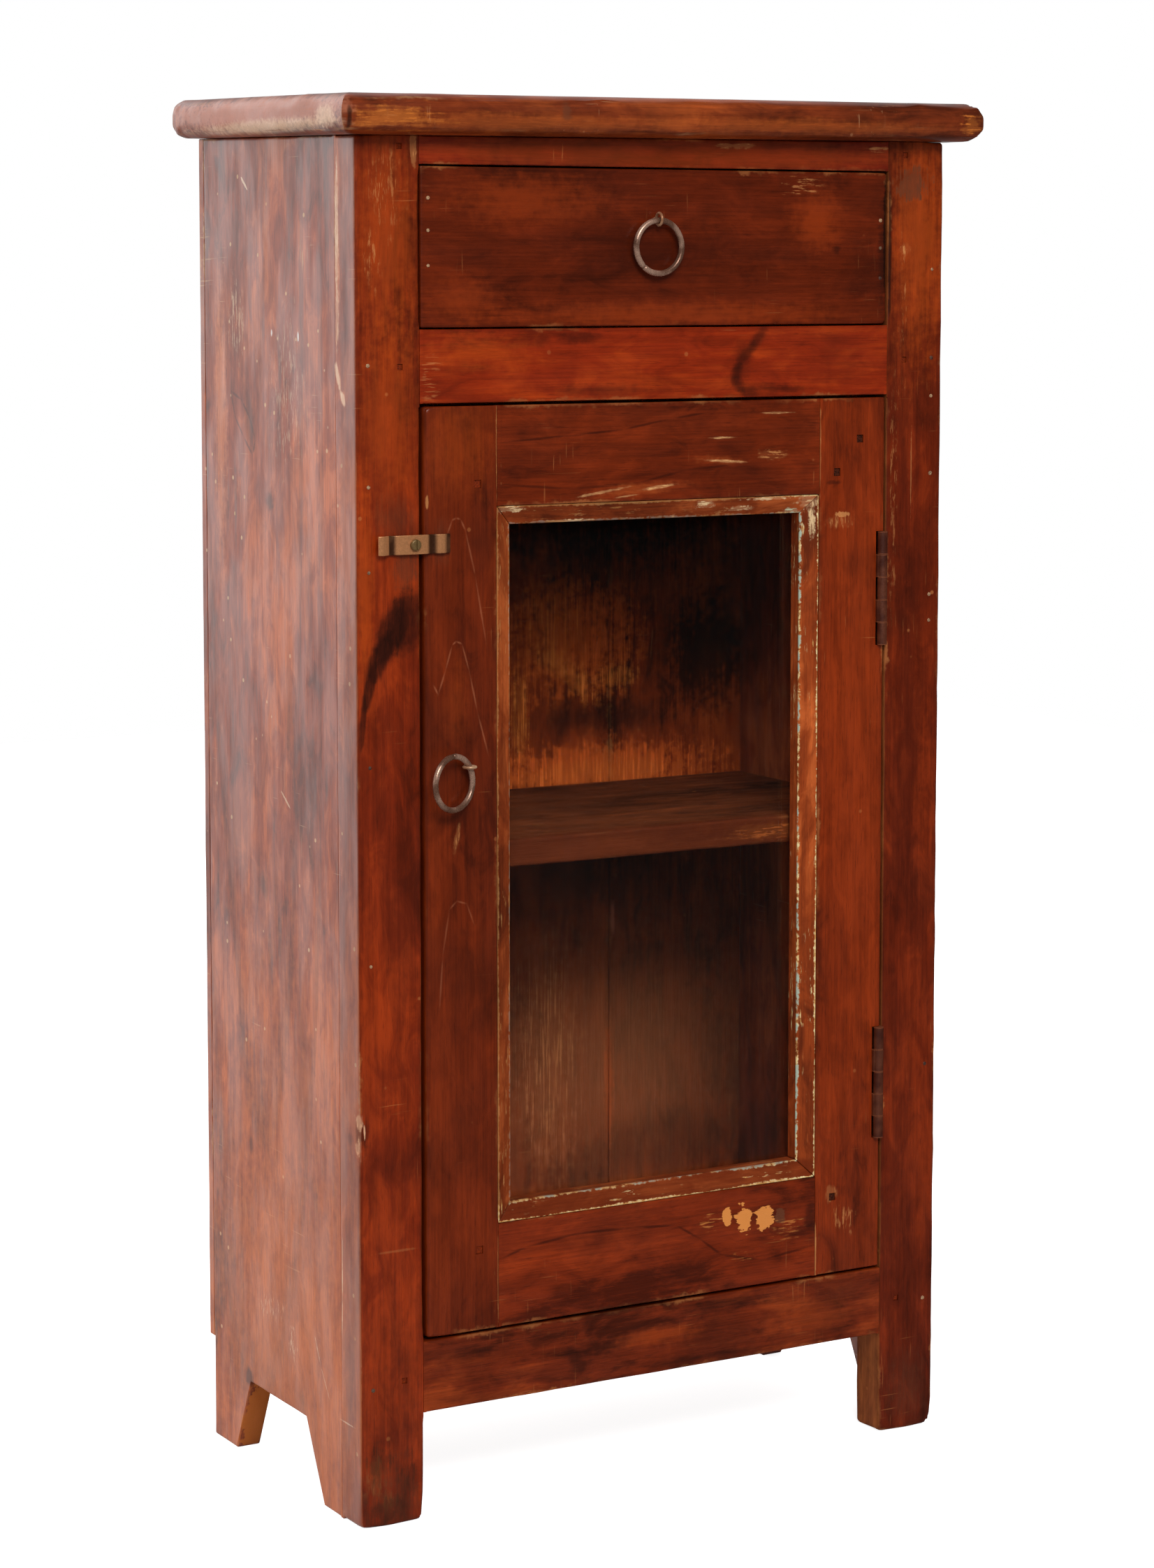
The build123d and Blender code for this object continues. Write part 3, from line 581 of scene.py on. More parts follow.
# Front frame: two stiles planted on the front edges of the planks, and three rails tenoned between them
# and pegged. Reddish teak, oiled dark, with chipped arrises and one long scorched streak.
sooty, hazy, muddy = tint(84, 46, 28), tint(104, 56, 34), tint(52, 26, 14)
# painted_light is a warm orange laid softly over the frame and door as painted light.
scraped, painted_light = tint(218, 148, 86), tint(224, 92, 18)
burn = {"ragged": 0.4, "soft": 0.45, "broken": 0.12}
left_stile_teak = teak(
    "left_stile_teak", tint(74, 21, 4), tint(120, 35, 5), tint(156, 52, 9),
    wear=0.5, grime=0.45, scars=0.3, specks=0.4,
    marks=(
        # Painted light, strongest towards the top of the stile and along its left edge.
        front_mark(-0.218, 0.900, 0.034, 0.110, painted_light, 0.24, soft=0.9),
        front_mark(-0.218, 0.780, 0.034, 0.090, painted_light, 0.2, soft=0.9),
        front_mark(-0.236, 0.660, 0.009, 0.090, painted_light, 0.24, soft=0.8),
        front_mark(-0.212, 0.706, 0.022, 0.024, sooty, 0.5, soft=0.9, broken=0.2),
        front_mark(-0.205, 0.674, 0.013, 0.022, sooty, 0.7, soft=0.8, broken=0.2),
        front_mark(-0.2040, 0.636, 0.016, 0.029, scorch_and_shade, 0.8, lean=10, **burn),
        front_mark(-0.2155, 0.630, 0.013, 0.031, scorch_and_shade, 0.8, lean=25, **burn),
        front_mark(-0.2250, 0.612, 0.009, 0.026, scorch_and_shade, 0.8, lean=25, **burn),
        front_mark(-0.2330, 0.592, 0.005, 0.024, scorch_and_shade, 0.8, lean=14, **burn),
        front_mark(-0.2382, 0.568, 0.003, 0.026, scorch_and_shade, 0.7, lean=6, **burn),
        front_mark(-0.208, 0.440, 0.018, 0.110, tint(84, 24, 5), 0.5, soft=0.9),
        front_mark(-0.218, 0.060, 0.040, 0.130, tint(62, 24, 12), 0.45, soft=1.0, broken=0.2),
        front_mark(-0.218, 0.010, 0.036, 0.045, hazy, 0.45, ragged=1.4, soft=0.9, broken=0.4),
        front_mark(-0.232, 0.036, 0.010, 0.016, tint(150, 84, 40), 0.5, ragged=1.6, soft=0.7, broken=0.6),
        front_mark(-0.222, 0.018, 0.008, 0.010, tint(150, 84, 40), 0.4, ragged=1.6, soft=0.7, broken=0.8),
        front_mark(-0.228, 0.048, 0.012, 0.016, muddy, 0.6, ragged=2.0, soft=0.7, broken=0.5),
        front_mark(-0.206, 0.034, 0.012, 0.022, muddy, 0.5, ragged=2.0, soft=0.8, broken=0.5),
        front_mark(-0.224, 0.012, 0.022, 0.014, muddy, 0.6, ragged=1.6, soft=0.8, broken=0.3),
        front_mark(-0.216, 0.196, 0.020, 0.0012, scraped, 0.14, soft=0.6),
        front_mark(-0.1975, 0.958, 0.003, 0.014, scraped, 0.7, broken=0.6),
        front_mark(-0.220, 0.930, 0.014, 0.030, scraped, 0.3, ragged=1.6, soft=0.7, broken=1.0),
        front_mark(-0.229, 0.884, 0.007, 0.026, scraped, 0.4, ragged=1.6, soft=0.7, broken=1.0),
        front_mark(-0.2395, 0.282, 0.0040, 0.016, scorch_and_shade, 0.6, ragged=1.4, soft=0.7, **on_corner),
        front_mark(-0.2410, 0.290, 0.0030, 0.0060, torn_wood, 0.8, broken=0.5, **torn),
        front_mark(-0.2385, 0.284, 0.0008, 0.0070, torn_wood, 0.8, ragged=1.4, soft=0.5, **on_corner),
        front_mark(-0.2420, 0.270, 0.0026, 0.0075, torn_wood, 0.8, broken=0.6, **torn),
    ),
)
right_stile_teak = teak(
    "right_stile_teak", tint(68, 19, 4), tint(106, 31, 5), tint(140, 46, 9),
    wear=0.5, grime=0.5, scars=0.4, specks=0.5,
    marks=(
        # Painted light towards the top of the stile.
        front_mark(0.220, 0.900, 0.036, 0.120, painted_light, 0.32, soft=0.9),
        front_mark(0.216, 0.520, 0.026, 0.150, tint(78, 22, 5), 0.5, soft=0.9),
        front_mark(0.218, 0.120, 0.036, 0.170, tint(60, 20, 8), 0.3, soft=1.0),
        front_mark(0.2155, 0.939, 0.016, 0.012, hazy, 0.95, ragged=2.0, soft=0.4, broken=0.3),
        # Painted shade along the stile's inner edge, beside the drawer's gap.
        front_mark(0.1945, 0.890, 0.0030, 0.075, scorch_and_shade, 0.85, ragged=0.6, soft=0.6),
        front_mark(0.2091, 0.892, 0.007, 0.005, scraped, 0.6, ragged=1.6, soft=0.5, broken=0.9),
        front_mark(0.2075, 0.850, 0.004, 0.070, scraped, 0.28, ragged=1.6, soft=0.8, broken=1.0),
        front_mark(0.2000, 0.720, 0.004, 0.100, scraped, 0.32, ragged=1.6, soft=0.8, broken=1.0),
        front_mark(0.2157, 0.727, 0.0006, 0.030, scraped, 0.3, ragged=1.6),
        front_mark(0.2180, 0.030, 0.026, 0.040, hazy, 0.4, soft=0.9, broken=0.4),
    ),
)
top_rail_teak = teak(
    "top_rail_teak", tint(56, 13, 5), tint(102, 24, 8), tint(130, 34, 11),
    wear=0.4, grime=0.4, scars=0.3, specks=0.4,
    marks=(
        # Painted light across the top rail, lightening it under the shade of the top's overhang.
        front_mark(0.000, 0.958, 0.300, 0.016, painted_light, 0.16, soft=0.6, ragged=0.6),
        front_mark(0.060, 0.9645, 0.020, 0.0020, scraped, 0.7, ragged=1.8, soft=0.6, broken=0.7),
        front_mark(0.183, 0.9640, 0.010, 0.0030, scraped, 0.6, ragged=1.8, soft=0.6, broken=0.9),
    ),
)
bottom_rail_teak = teak(
    "bottom_rail_teak", tint(54, 17, 5), tint(116, 38, 9), tint(150, 58, 16),
    wear=0.4, grime=0.5, scars=0.3, specks=0.4,
    marks=(
        front_mark(-0.070, 0.094, 0.026, 0.009, scorch_and_shade, 0.6, lean=60, soft=0.8, broken=0.2),
        front_mark(-0.150, 0.115, 0.040, 0.006, scorch_and_shade, 0.55, soft=0.8, broken=0.3),
        front_mark(0.060, 0.120, 0.060, 0.007, scorch_and_shade, 0.65, soft=0.8, broken=0.3),
        front_mark(0.060, 0.082, 0.080, 0.006, scorch_and_shade, 0.5, soft=0.8, broken=0.2),
        front_mark(0.165, 0.112, 0.035, 0.010, tint(70, 32, 16), 0.25, soft=0.9),
        # Painted light in soft patches along the rail.
        front_mark(0.000, 0.104, 0.050, 0.009, painted_light, 0.18, soft=0.9),
        front_mark(0.130, 0.098, 0.060, 0.016, painted_light, 0.14, soft=0.9),
    ),
)
knot_line = (
    (0.0868, 0.8345), (0.0761, 0.8216), (0.0647, 0.809), (0.061, 0.799), (0.0667, 0.791), (0.08, 0.7886),
)
middle_rail_teak = teak(
    "middle_rail_teak", tint(96, 25, 4), tint(140, 38, 5), tint(168, 56, 9),
    wear=0.4, grime=0.4, scars=0.3, specks=0.3,
    marks=(
        # Painted light on the rail's left part.
        front_mark(-0.150, 0.820, 0.060, 0.018, painted_light, 0.26, soft=0.9, broken=0.2),
        front_mark(-0.186, 0.800, 0.010, 0.024, scraped, 0.3, soft=0.8, broken=1.0),
        front_mark(-0.068, 0.829, 0.024, 0.006, tint(74, 20, 6), 0.7, soft=0.9),
        front_mark(0.066, 0.808, 0.014, 0.028, tint(74, 20, 6), 0.55, lean=14, soft=1.0),
        *mark_line(front_mark, knot_line, 0.0062, scorch_and_shade, 0.6, overlap=1.0, ragged=0.4, soft=0.8),
        front_mark(0.095, 0.791, 0.034, 0.006, scorch_and_shade, 0.55, soft=0.9),
        front_mark(-0.050, 0.793, 0.050, 0.006, scorch_and_shade, 0.4, soft=0.9),
    ),
)


def solids(node):
    """Lowest and highest corners of each separate solid in a CAD node."""
    skin = bmesh.new()
    skin.from_mesh(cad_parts[node].data)
    bmesh.ops.remove_doubles(skin, verts=skin.verts, dist=1e-6)
    seen, boxes = set(), []
    for start in skin.verts:
        if start in seen:
            continue
        seen.add(start)
        waiting, places = [start], []
        while waiting:
            corner = waiting.pop()
            places.append(corner.co.copy())
            for joined in (line.other_vert(corner) for line in corner.link_edges):
                if joined not in seen:
                    seen.add(joined)
                    waiting.append(joined)
        places = np.array(places)
        boxes.append((Vector(places.min(axis=0)), Vector(places.max(axis=0))))
    skin.free()
    return boxes


def carve(piece, board, boxes):
    """Cut square-sided hollows into a piece, keeping its grain."""
    old = piece.data
    nearest = kdtree.KDTree(len(old.vertices))
    for corner in old.vertices:
        nearest.insert(corner.co, corner.index)
    nearest.balance()
    skins = [box_skin([np.array([low[axis], high[axis]]) for axis in range(3)]) for low, high in boxes]
    faces = [[corner + 8 * index for corner in quad] for index, skin in enumerate(skins) for quad in skin[1]]
    hollows = put("hollows", new_mesh("hollows", np.concatenate([skin[0] for skin in skins]), faces))
    cut = piece.modifiers.new("cut", "BOOLEAN")
    cut.object, cut.operation, cut.solver = hollows, "DIFFERENCE", "EXACT"
    carved = bpy.data.meshes.new_from_object(piece.evaluated_get(bpy.context.evaluated_depsgraph_get()))
    piece.modifiers.clear()
    bpy.data.objects.remove(hollows)
    places = np.array([corner.co for corner in carved.vertices])
    edges = [old.attributes["edge"].data[nearest.find(place)[1]].value for place in places]
    set_attribute(carved, "edge", "FLOAT", edges)
    set_attribute(carved, "grain", "FLOAT_VECTOR", places[:, board["axes"]] - board["origin"])
    set_attribute(carved, "timber", "FLOAT", np.full(len(places), board["timber"][0]))
    carved.set_sharp_from_angle(angle=radians(50))
    piece.data = carved


def peg_holes(node, low, high):
    """Hollows over the ends of those pegs that lie within a board, a little wider than each peg."""
    inside = [peg for peg in solids(node) if low.x < peg[0].x < high.x and low.z < peg[0].z < high.z]
    spare, depth = Vector((0.0001, 0, 0.0001)), 0.0003
    return [
        (Vector((first.x, face - 0.01, first.z)) - spare, Vector((last.x, first.y + depth, last.z)) + spare)
        for first, last in inside
    ]


def face_finish(piece, finish, axis, way, beyond):
    """Give the facets that face one way along an axis, past a line, a finish of their own."""
    piece.data.materials.append(finish)
    for facet in piece.data.polygons:
        if facet.normal[axis] * way > 0.7 and facet.center[axis] * way > beyond:
            facet.material_index = len(piece.data.materials) - 1


outer_side = -left_side - 0.008
stile_boxes = [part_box("stile_left"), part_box("stile_right")]
rail_boxes = [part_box(node) for node in ("top_rail", "middle_rail", "bottom_rail")]
stile_finishes = {"stile_left": left_stile_teak, "stile_right": right_stile_teak}
worn_foot = (0.012, 0.03, 0.012)
chipped = {
    "stile_left": [((left_side, face, 0.282), (0.02, 0.02, 0.016), 0.006)],
    "stile_right": [((-left_side, face, 0.0), worn_foot, 0.003)],
}
for node, box in zip(chipped, stile_boxes):
    chipped[node] += [((x, face, 0.0), worn_foot, 0.0035) for x in (box[0].x, box[1].x)]
stile_pieces = []
for index, (node, finish) in enumerate(stile_finishes.items()):
    low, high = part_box(node)
    met = rail_boxes + [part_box(node.replace("stile", "side_plank"))]
    board = worn_board(low, high, "zxy", 3 + index, radius=0.0022, chips=chipped[node], beside=met)
    piece = make_piece(f"{node}_board", [settle(board)], finish, "carcass", "teak_frame", node)
    carve(piece, board, peg_holes("frame_pegs", low, high))
    face_finish(piece, side_teak, 0, 1 if low.x > 0 else -1, outer_side)
    stile_pieces.append(piece)
rail_finishes = {"top_rail": top_rail_teak, "middle_rail": middle_rail_teak, "bottom_rail": bottom_rail_teak}
for index, (node, finish) in enumerate(rail_finishes.items()):
    low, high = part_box(node)
    low.x, high.x = stile_boxes[0][1].x, stile_boxes[1][0].x
    board = worn_board(low, high, "xzy", 5 + index, heart=(0.06, 0.05), radius=0.0012, beside=stile_boxes)
    make_piece(f"{node}_board", [settle(board)], finish, "carcass", "teak_frame", node)

# Pegs and nails: square pegs driven through the frame's joints and left a little below the face, and
# cut iron nails with small heads, some rusted dark and some still filled with pale putty.


def peg_end_grain():
    """End grain of the square pegs; those in the door's right stile are stained dark."""
    finish, tree, shader = new_finish("peg_end_grain")
    place = surface(tree)
    dots = cloud(tree, place, 900, 2, 0.6)
    speckled = between(tree, dots, 0.35, 0.65)
    rightward = split(tree, place)["X"]
    stained = between(tree, rightward, 0.18, 0.19, 1, 0)
    stained = product(tree, between(tree, rightward, 0.135, 0.14), stained)
    plain = blend(tree, speckled, tint(92, 29, 8), tint(136, 48, 13))
    dark = blend(tree, speckled, tint(38, 14, 7), tint(84, 36, 18))
    roughness = between(tree, dots, 0.3, 0.7, 0.6, 0.85)
    feed(tree, shader, {"Base Color": blend(tree, stained, plain, dark), "Roughness": roughness})
    feed(tree, shader, {"Specular IOR Level": 0.1})
    return finish


def nail_iron():
    """Rusted iron, with pale putty left on some of the heads."""
    finish, tree, shader = new_finish("nail_heads")
    place = surface(tree)
    rust = between(tree, cloud(tree, place, 1400, 3, 0.6), 0.35, 0.65)
    puttied = between(tree, cloud(tree, place, 31, 1), 0.4, 0.5)
    dark = blend(tree, rust, tint(52, 30, 22), tint(96, 62, 46))
    pale = blend(tree, rust, tint(128, 92, 66), tint(190, 150, 110))
    roughness = between(tree, rust, 0.0, 1.0, 0.5, 0.8)
    feed(tree, shader, {"Base Color": blend(tree, puttied, dark, pale), "Roughness": roughness})
    return finish


peg_finish, nail_finish = peg_end_grain(), nail_iron()


def dress(node, finish):
    """Give a CAD node its finish."""
    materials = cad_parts[node].data.materials
    materials.clear()
    materials.append(finish)


def plain_form(places, faces):
    """What a piece needs, for a form without grain or worn arrises."""
    edge, timber = np.ones(len(places)), np.zeros(len(places))
    return {"places": places, "faces": faces, "grain": places, "edge": edge, "timber": timber}


def turned(middle, profile, sides, seed, uneven=0.08):
    """A round form about a line from front to back; the profile is radii and depths, closed at both ends."""
    angles = np.linspace(0, 2 * pi, sides, endpoint=False)
    rings = []
    for radius, depth in profile:
        turns = angles if radius else angles[:1]
        ring = [middle + Vector((radius * cos(turn), depth, radius * sin(turn))) for turn in turns]
        rings.append(np.array(ring))
    places = np.concatenate(rings)
    spread = 1 + uneven * ripple(places, 0.0016, seed)[:, None]
    centre = np.array(middle)[[0, 2]]
    places[:, [0, 2]] = centre + (places[:, [0, 2]] - centre) * spread
    faces, start = [], 0
    for first, second in zip(rings, rings[1:]):
        after = start + len(first)
        for side in range(sides):
            beyond = (side + 1) % sides
            if len(first) == 1:
                faces.append([start, after + side, after + beyond])
            elif len(second) == 1:
                faces.append([start + side, after, start + beyond])
            else:
                faces.append([start + side, after + side, after + beyond, start + beyond])
        start = after
    return plain_form(places, faces)


nail_radius = 0.0014
nail_profile = ((0, 0.00025), (0.55, 0.0002), (0.92, 0.00005), (1, -0.0003), (0.6, -0.008), (0, -0.008))


def nail_heads(name, node, body, seed, towards=-1):
    """Uneven round heads in place of a node's nails, which stand just proud of the wood."""
    heads = []
    for index, (low, high) in enumerate(solids(node)):
        size = nail_radius * (1 + 0.25 * noise.noise(Vector((index * 3.1, seed, 0.5))))
        middle = (low + high) / 2
        middle.y = low.y if towards < 0 else high.y
        profile = [(share * size, towards * rise) for share, rise in nail_profile]
        heads.append(turned(middle, profile, 12, seed + index))
        if towards > 0:
            heads[-1]["faces"] = [corners[::-1] for corners in heads[-1]["faces"]]
    make_piece(name, heads, nail_finish, body, "nail_iron", node)


dress("frame_pegs", peg_finish)
nail_heads("stile_nail_heads", "stile_nails", "carcass", 61)
nail_heads("back_nail_heads", "back_nails", "carcass", 62, towards=1)

# Inner boards: the cabinet floor, the shelf and the strips that carry them and the drawer.
# Left rough from the saw and never polished, they have gone dark brown with age.
shelf_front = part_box("shelf")[0].y
inner_teak = teak(
    "inner_teak", tint(58, 25, 12), tint(102, 48, 24), tint(130, 62, 32),
    wear=0.4, grime=0.6, scars=0.25, specks=0.3, polish=0.1, gloss=0.5, bump=0.5,
    marks=(
        front_mark(0.000, 0.464, 0.300, 0.016, tint(92, 33, 13), 0.6, soft=0.3, at=shelf_front),
        front_mark(
            0.110, 0.464, 0.045, 0.007, tint(190, 100, 44), 0.6, soft=0.6, broken=0.8, at=shelf_front,
        ),
    ),
)
rough_teak = teak(
    "rough_teak", tint(84, 40, 20), tint(132, 68, 34), tint(164, 90, 46),
    wear=0.4, grime=0.4, scars=0.3, specks=0.3, polish=0.15, gloss=0.5, bump=0.4,
)
for way, piece in zip((1, -1), stile_pieces):
    face_finish(piece, rough_teak, 0, way, -stile_boxes[1][0].x - 0.003)
low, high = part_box("floor_board")
floor_board = worn_board(low, high, "xyz", 11, radius=0.0016)
make_piece("floor_board_plank", [floor_board], inner_teak, "carcass", "inner_wood", "floor_board")
low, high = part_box("shelf")
nose_low, nose_high = low.copy(), high.copy()
frame_gap = 0.0003
nose_low.x, nose_high.x = stile_boxes[0][1].x + frame_gap, stile_boxes[1][0].x - frame_gap
nose_high.y = low.y = stile_boxes[0][1].y
shelf_boards = [
    worn_board(low, high, "xyz", 12, radius=0.0004),
    worn_board(nose_low, nose_high, "xyz", 12, middle=(low + high) / 2, radius=0.002, beside=[(low, high)]),
]
make_piece("shelf_plank", shelf_boards, inner_teak, "carcass", "inner_wood", "shelf")
for index, strip in enumerate(("floor_cleat", "shelf_cleat", "drawer_runner", "drawer_guide")):
    for side in ("left", "right"):
        node = f"{strip}_{side}"
        board = worn_board(*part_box(node), "yxz", 14 + index, step=0.03)
        make_piece(f"{node}_strip", [board], inner_teak, "carcass", "inner_wood", node)

# Back: three upright boards nailed across the planks, rough-sawn, with scraped orange patches inside
# among cloudy dark stains. Painted shade darkens the inside at the top of the upper compartment and under
# the shelf, and a painted reflection of the glass lightens the lower compartment.
back_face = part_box("back_board_left")[0].y
back_scraped, back_golden = tint(252, 112, 42), tint(255, 144, 60)
back_stain_and_shade, back_painted_reflection, back_tan = tint(30, 13, 8), tint(180, 104, 66), tint(240, 146, 88)
back_drips = ((0.037, 0.582), (0.060, 0.566), (0.084, 0.545))
on_back = {"at": back_face}
dripped = {"ragged": 1.4, "soft": 0.8, "broken": 0.8, **on_back}
bared = {"ragged": 1.6, **on_back}
back_teak = teak(
    "back_teak", tint(60, 23, 9), tint(138, 52, 19), tint(176, 74, 28),
    wear=0.4, grime=0.6, scars=0.3, specks=0.2, polish=0.1, gloss=0.5, bump=0.6, streaks=22,
    marks=(
        front_mark(0.065, 0.590, 0.085, 0.060, back_scraped, 0.85, soft=0.9, broken=0.3, **bared),
        front_mark(0.100, 0.526, 0.080, 0.018, back_stain_and_shade, 0.65, ragged=0.8, soft=0.8, **on_back),
        *mark_line(front_mark, back_drips, 0.013, back_golden, 0.95, overlap=0.9, **dripped),
        front_mark(0.108, 0.557, 0.022, 0.012, back_golden, 0.9, **dripped),
        front_mark(0.050, 0.605, 0.040, 0.040, back_golden, 0.5, **dripped),
        front_mark(0.021, 0.530, 0.010, 0.050, back_golden, 0.75, **dripped),
        front_mark(0.087, 0.485, 0.140, 0.022, back_scraped, 0.8, soft=0.5, broken=0.6, **bared),
        front_mark(0.087, 0.480, 0.130, 0.014, back_golden, 0.35, **dripped),
        front_mark(0.190, 0.570, 0.055, 0.060, back_stain_and_shade, 0.8, ragged=1.2, soft=0.7, **on_back),
        # Painted shadow at the top of the upper compartment, where the rails above shade it.
        front_mark(0.100, 0.700, 0.220, 0.075, back_stain_and_shade, 0.9, ragged=1.0, soft=0.8, **on_back),
        # Painted reflection of the glass across the lower compartment.
        front_mark(0.120, 0.255, 0.260, 0.170, back_painted_reflection, 0.75, ragged=0.4, soft=1.0, broken=0.2, **on_back),
        front_mark(0.047, 0.260, 0.034, 0.120, back_tan, 0.65, soft=0.9, broken=0.85, **on_back),
        front_mark(0.1048, 0.363, 0.0025, 0.018, tint(236, 140, 104), 0.8, soft=0.6, broken=0.3, **on_back),
        front_mark(0.1015, 0.235, 0.0060, 0.070, tint(226, 100, 44), 0.75, soft=0.8, broken=0.4, **on_back),
        # Painted shade just under the shelf.
        front_mark(0.100, 0.410, 0.220, 0.050, back_stain_and_shade, 0.5, ragged=0.6, soft=1.0, **on_back),
        front_mark(0.150, 0.180, 0.090, 0.034, back_stain_and_shade, 0.35, ragged=0.4, soft=0.8, **on_back),
    ),
)
for index, part in enumerate(("left", "middle", "right")):
    node = f"back_board_{part}"
    board = worn_board(*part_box(node), "zxy", 20 + index, radius=0.001)
    piece = make_piece(f"{node}_plank", [settle(board)], back_teak, "carcass", "inner_wood", node)
    for way in (-1, 1):
        face_finish(piece, side_teak, 0, way, outer_side)
    face_finish(piece, rough_teak, 1, 1, back_face)

# Top: one broad board, bullnosed along its front and both ends and left square at the back.
# Its polish is worn through to paler wood at the corners and along the front. A painted reflection runs
# along the lower part of its nose, and a painted highlight sits on the rounded front left corner.
top_bare, top_golden = tint(214, 160, 112), tint(214, 120, 44)
top_painted_reflection, top_cream_and_highlight = tint(180, 86, 30), tint(220, 182, 148)
nose = top_low.y
on_end = {"at": top_low.x, "half_in": 0.014}
top_teak = teak(
    "top_teak", tint(78, 28, 9), tint(124, 48, 16), tint(162, 72, 26), spacing=0.013,
    bare=top_bare, wear=0.3, grime=0.5, scars=0.4, specks=0.4, polish=1.0,
    marks=(
        # Painted reflection: a warm band along the lower part of the nose.
        front_mark(-0.120, 0.976, 0.160, 0.009, top_painted_reflection, 0.55, soft=0.8, broken=0.3, at=nose),
        front_mark(0.110, 0.978, 0.150, 0.008, top_painted_reflection, 0.5, soft=0.8, broken=0.3, at=nose),
        front_mark(-0.222, 0.979, 0.042, 0.009, top_golden, 0.75, ragged=1.6, soft=0.8, broken=0.5, at=nose),
        front_mark(-0.090, 0.984, 0.005, 0.007, hazy, 0.6, soft=0.6, at=nose),
        front_mark(0.252, 0.981, 0.010, 0.010, top_golden, 0.8, ragged=2.0, soft=0.6, broken=0.7, at=nose),
        side_mark(0.110, 0.986, 0.200, 0.016, tint(176, 104, 76), 0.7, soft=0.5, **on_end),
        side_mark(0.100, 0.975, 0.160, 0.007, top_cream_and_highlight, 0.8, ragged=0.7, soft=0.8, broken=0.2, **on_end),
        # Painted highlight on the rounded front left corner.
        side_mark(0.004, 0.980, 0.018, 0.010, top_cream_and_highlight, 0.7, ragged=0.8, soft=0.7, broken=0.2, **on_end),
        front_mark(-0.2565, 0.977, 0.0025, 0.010, scorch_and_shade, 0.75, soft=0.6, at=nose),
    ),
)
top_chips = [((top_low.x, top_low.y, 0.985), (0.016, 0.016, 0.02), 0.004)]
bullnose = 0.0125
nose_steps = [share * bullnose for share in (0.74, 0.84, 0.92, 1)]
nose_lines = {
    axis: [top_low[axis] + step for step in nose_steps] + [top_high[axis] - step for step in nose_steps]
    for axis in range(3)
}
top_board = worn_board(
    top_low, top_high, "xyz", 31, heart=(0.05, 0.06), radius=bullnose, chips=top_chips, lines=nose_lines,
    mitred=True, square_back=True,
)
top_piece = make_piece("top_plank", [settle(top_board)], top_teak, "carcass", "teak_top", "top_board")
top_piece.data.set_sharp_from_angle(angle=radians(50))

# Drawer: a thick teak front nailed to thin sides, with a back and a bottom in grooves. The front's polish
# is dark in the middle, where hands have rubbed it, and orange towards its edges, with a painted sheen at
# its top left and painted shade down its right end.
drawer_orange_and_sheen, drawer_dark = tint(152, 54, 10), tint(62, 18, 4)
drawer_teak = teak(
    "drawer_teak", tint(62, 18, 3), tint(96, 29, 4), tint(116, 37, 7), spacing=0.016, figure=0.1,
    wear=0.5, grime=0.4, scars=0.3, specks=0.2,
    marks=(
        # Painted sheen at the top left; the other orange marks are the wood's tone towards its edges.
        front_mark(-0.110, 0.925, 0.090, 0.024, drawer_orange_and_sheen, 0.55, soft=1.0),
        front_mark(-0.160, 0.856, 0.040, 0.022, drawer_orange_and_sheen, 0.5, soft=1.0),
        front_mark(0.000, 0.845, 0.200, 0.013, drawer_orange_and_sheen, 0.6, soft=1.0),
        front_mark(0.132, 0.912, 0.030, 0.034, drawer_orange_and_sheen, 0.65, soft=1.0),
        front_mark(0.000, 0.890, 0.120, 0.030, drawer_dark, 0.65, soft=1.0),
        front_mark(0.175, 0.876, 0.036, 0.040, drawer_dark, 0.6, soft=1.0),
        front_mark(0.148, 0.891, 0.005, 0.005, scorch_and_shade, 0.6, soft=0.8),
        # Painted shade down the drawer's right end, beside its gap to the stile.
        front_mark(0.189, 0.885, 0.006, 0.050, scorch_and_shade, 0.6, soft=0.8),
        front_mark(0.1915, 0.905, 0.0030, 0.060, scorch_and_shade, 0.9, ragged=0.6, soft=0.5),
        front_mark(0.120, 0.937, 0.018, 0.007, scraped, 0.4, ragged=2.0, soft=0.6, broken=1.0),
    ),
)
low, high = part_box("drawer_front")
worn_end = [((high.x, low.y, 0.89), (0.006, 0.006, 1.0), 0.0022)]
board = worn_board(low, high, "xzy", 41, radius=0.0014, chips=worn_end)
make_piece("drawer_front_board", [board], drawer_teak, "drawer", "teak_drawer", "drawer_front")
drawer_grain = {"side_left": "yzx", "side_right": "yzx", "back": "xzy", "bottom": "xyz"}
for index, (part, grain) in enumerate(drawer_grain.items()):
    node = f"drawer_{part}"
    board = worn_board(*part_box(node), grain, 42 + index, step=0.03)
    make_piece(f"{node}_board", [board], inner_teak, "drawer", "inner_wood", node)
nail_heads("drawer_nail_heads", "drawer_nails", "drawer", 63)

# Ring pulls: rings of bent iron wire, their ends butted but not welded, hanging in split-pin eyes.
# Iron browned by age and rubbed bright where fingers and the eyes touch it.


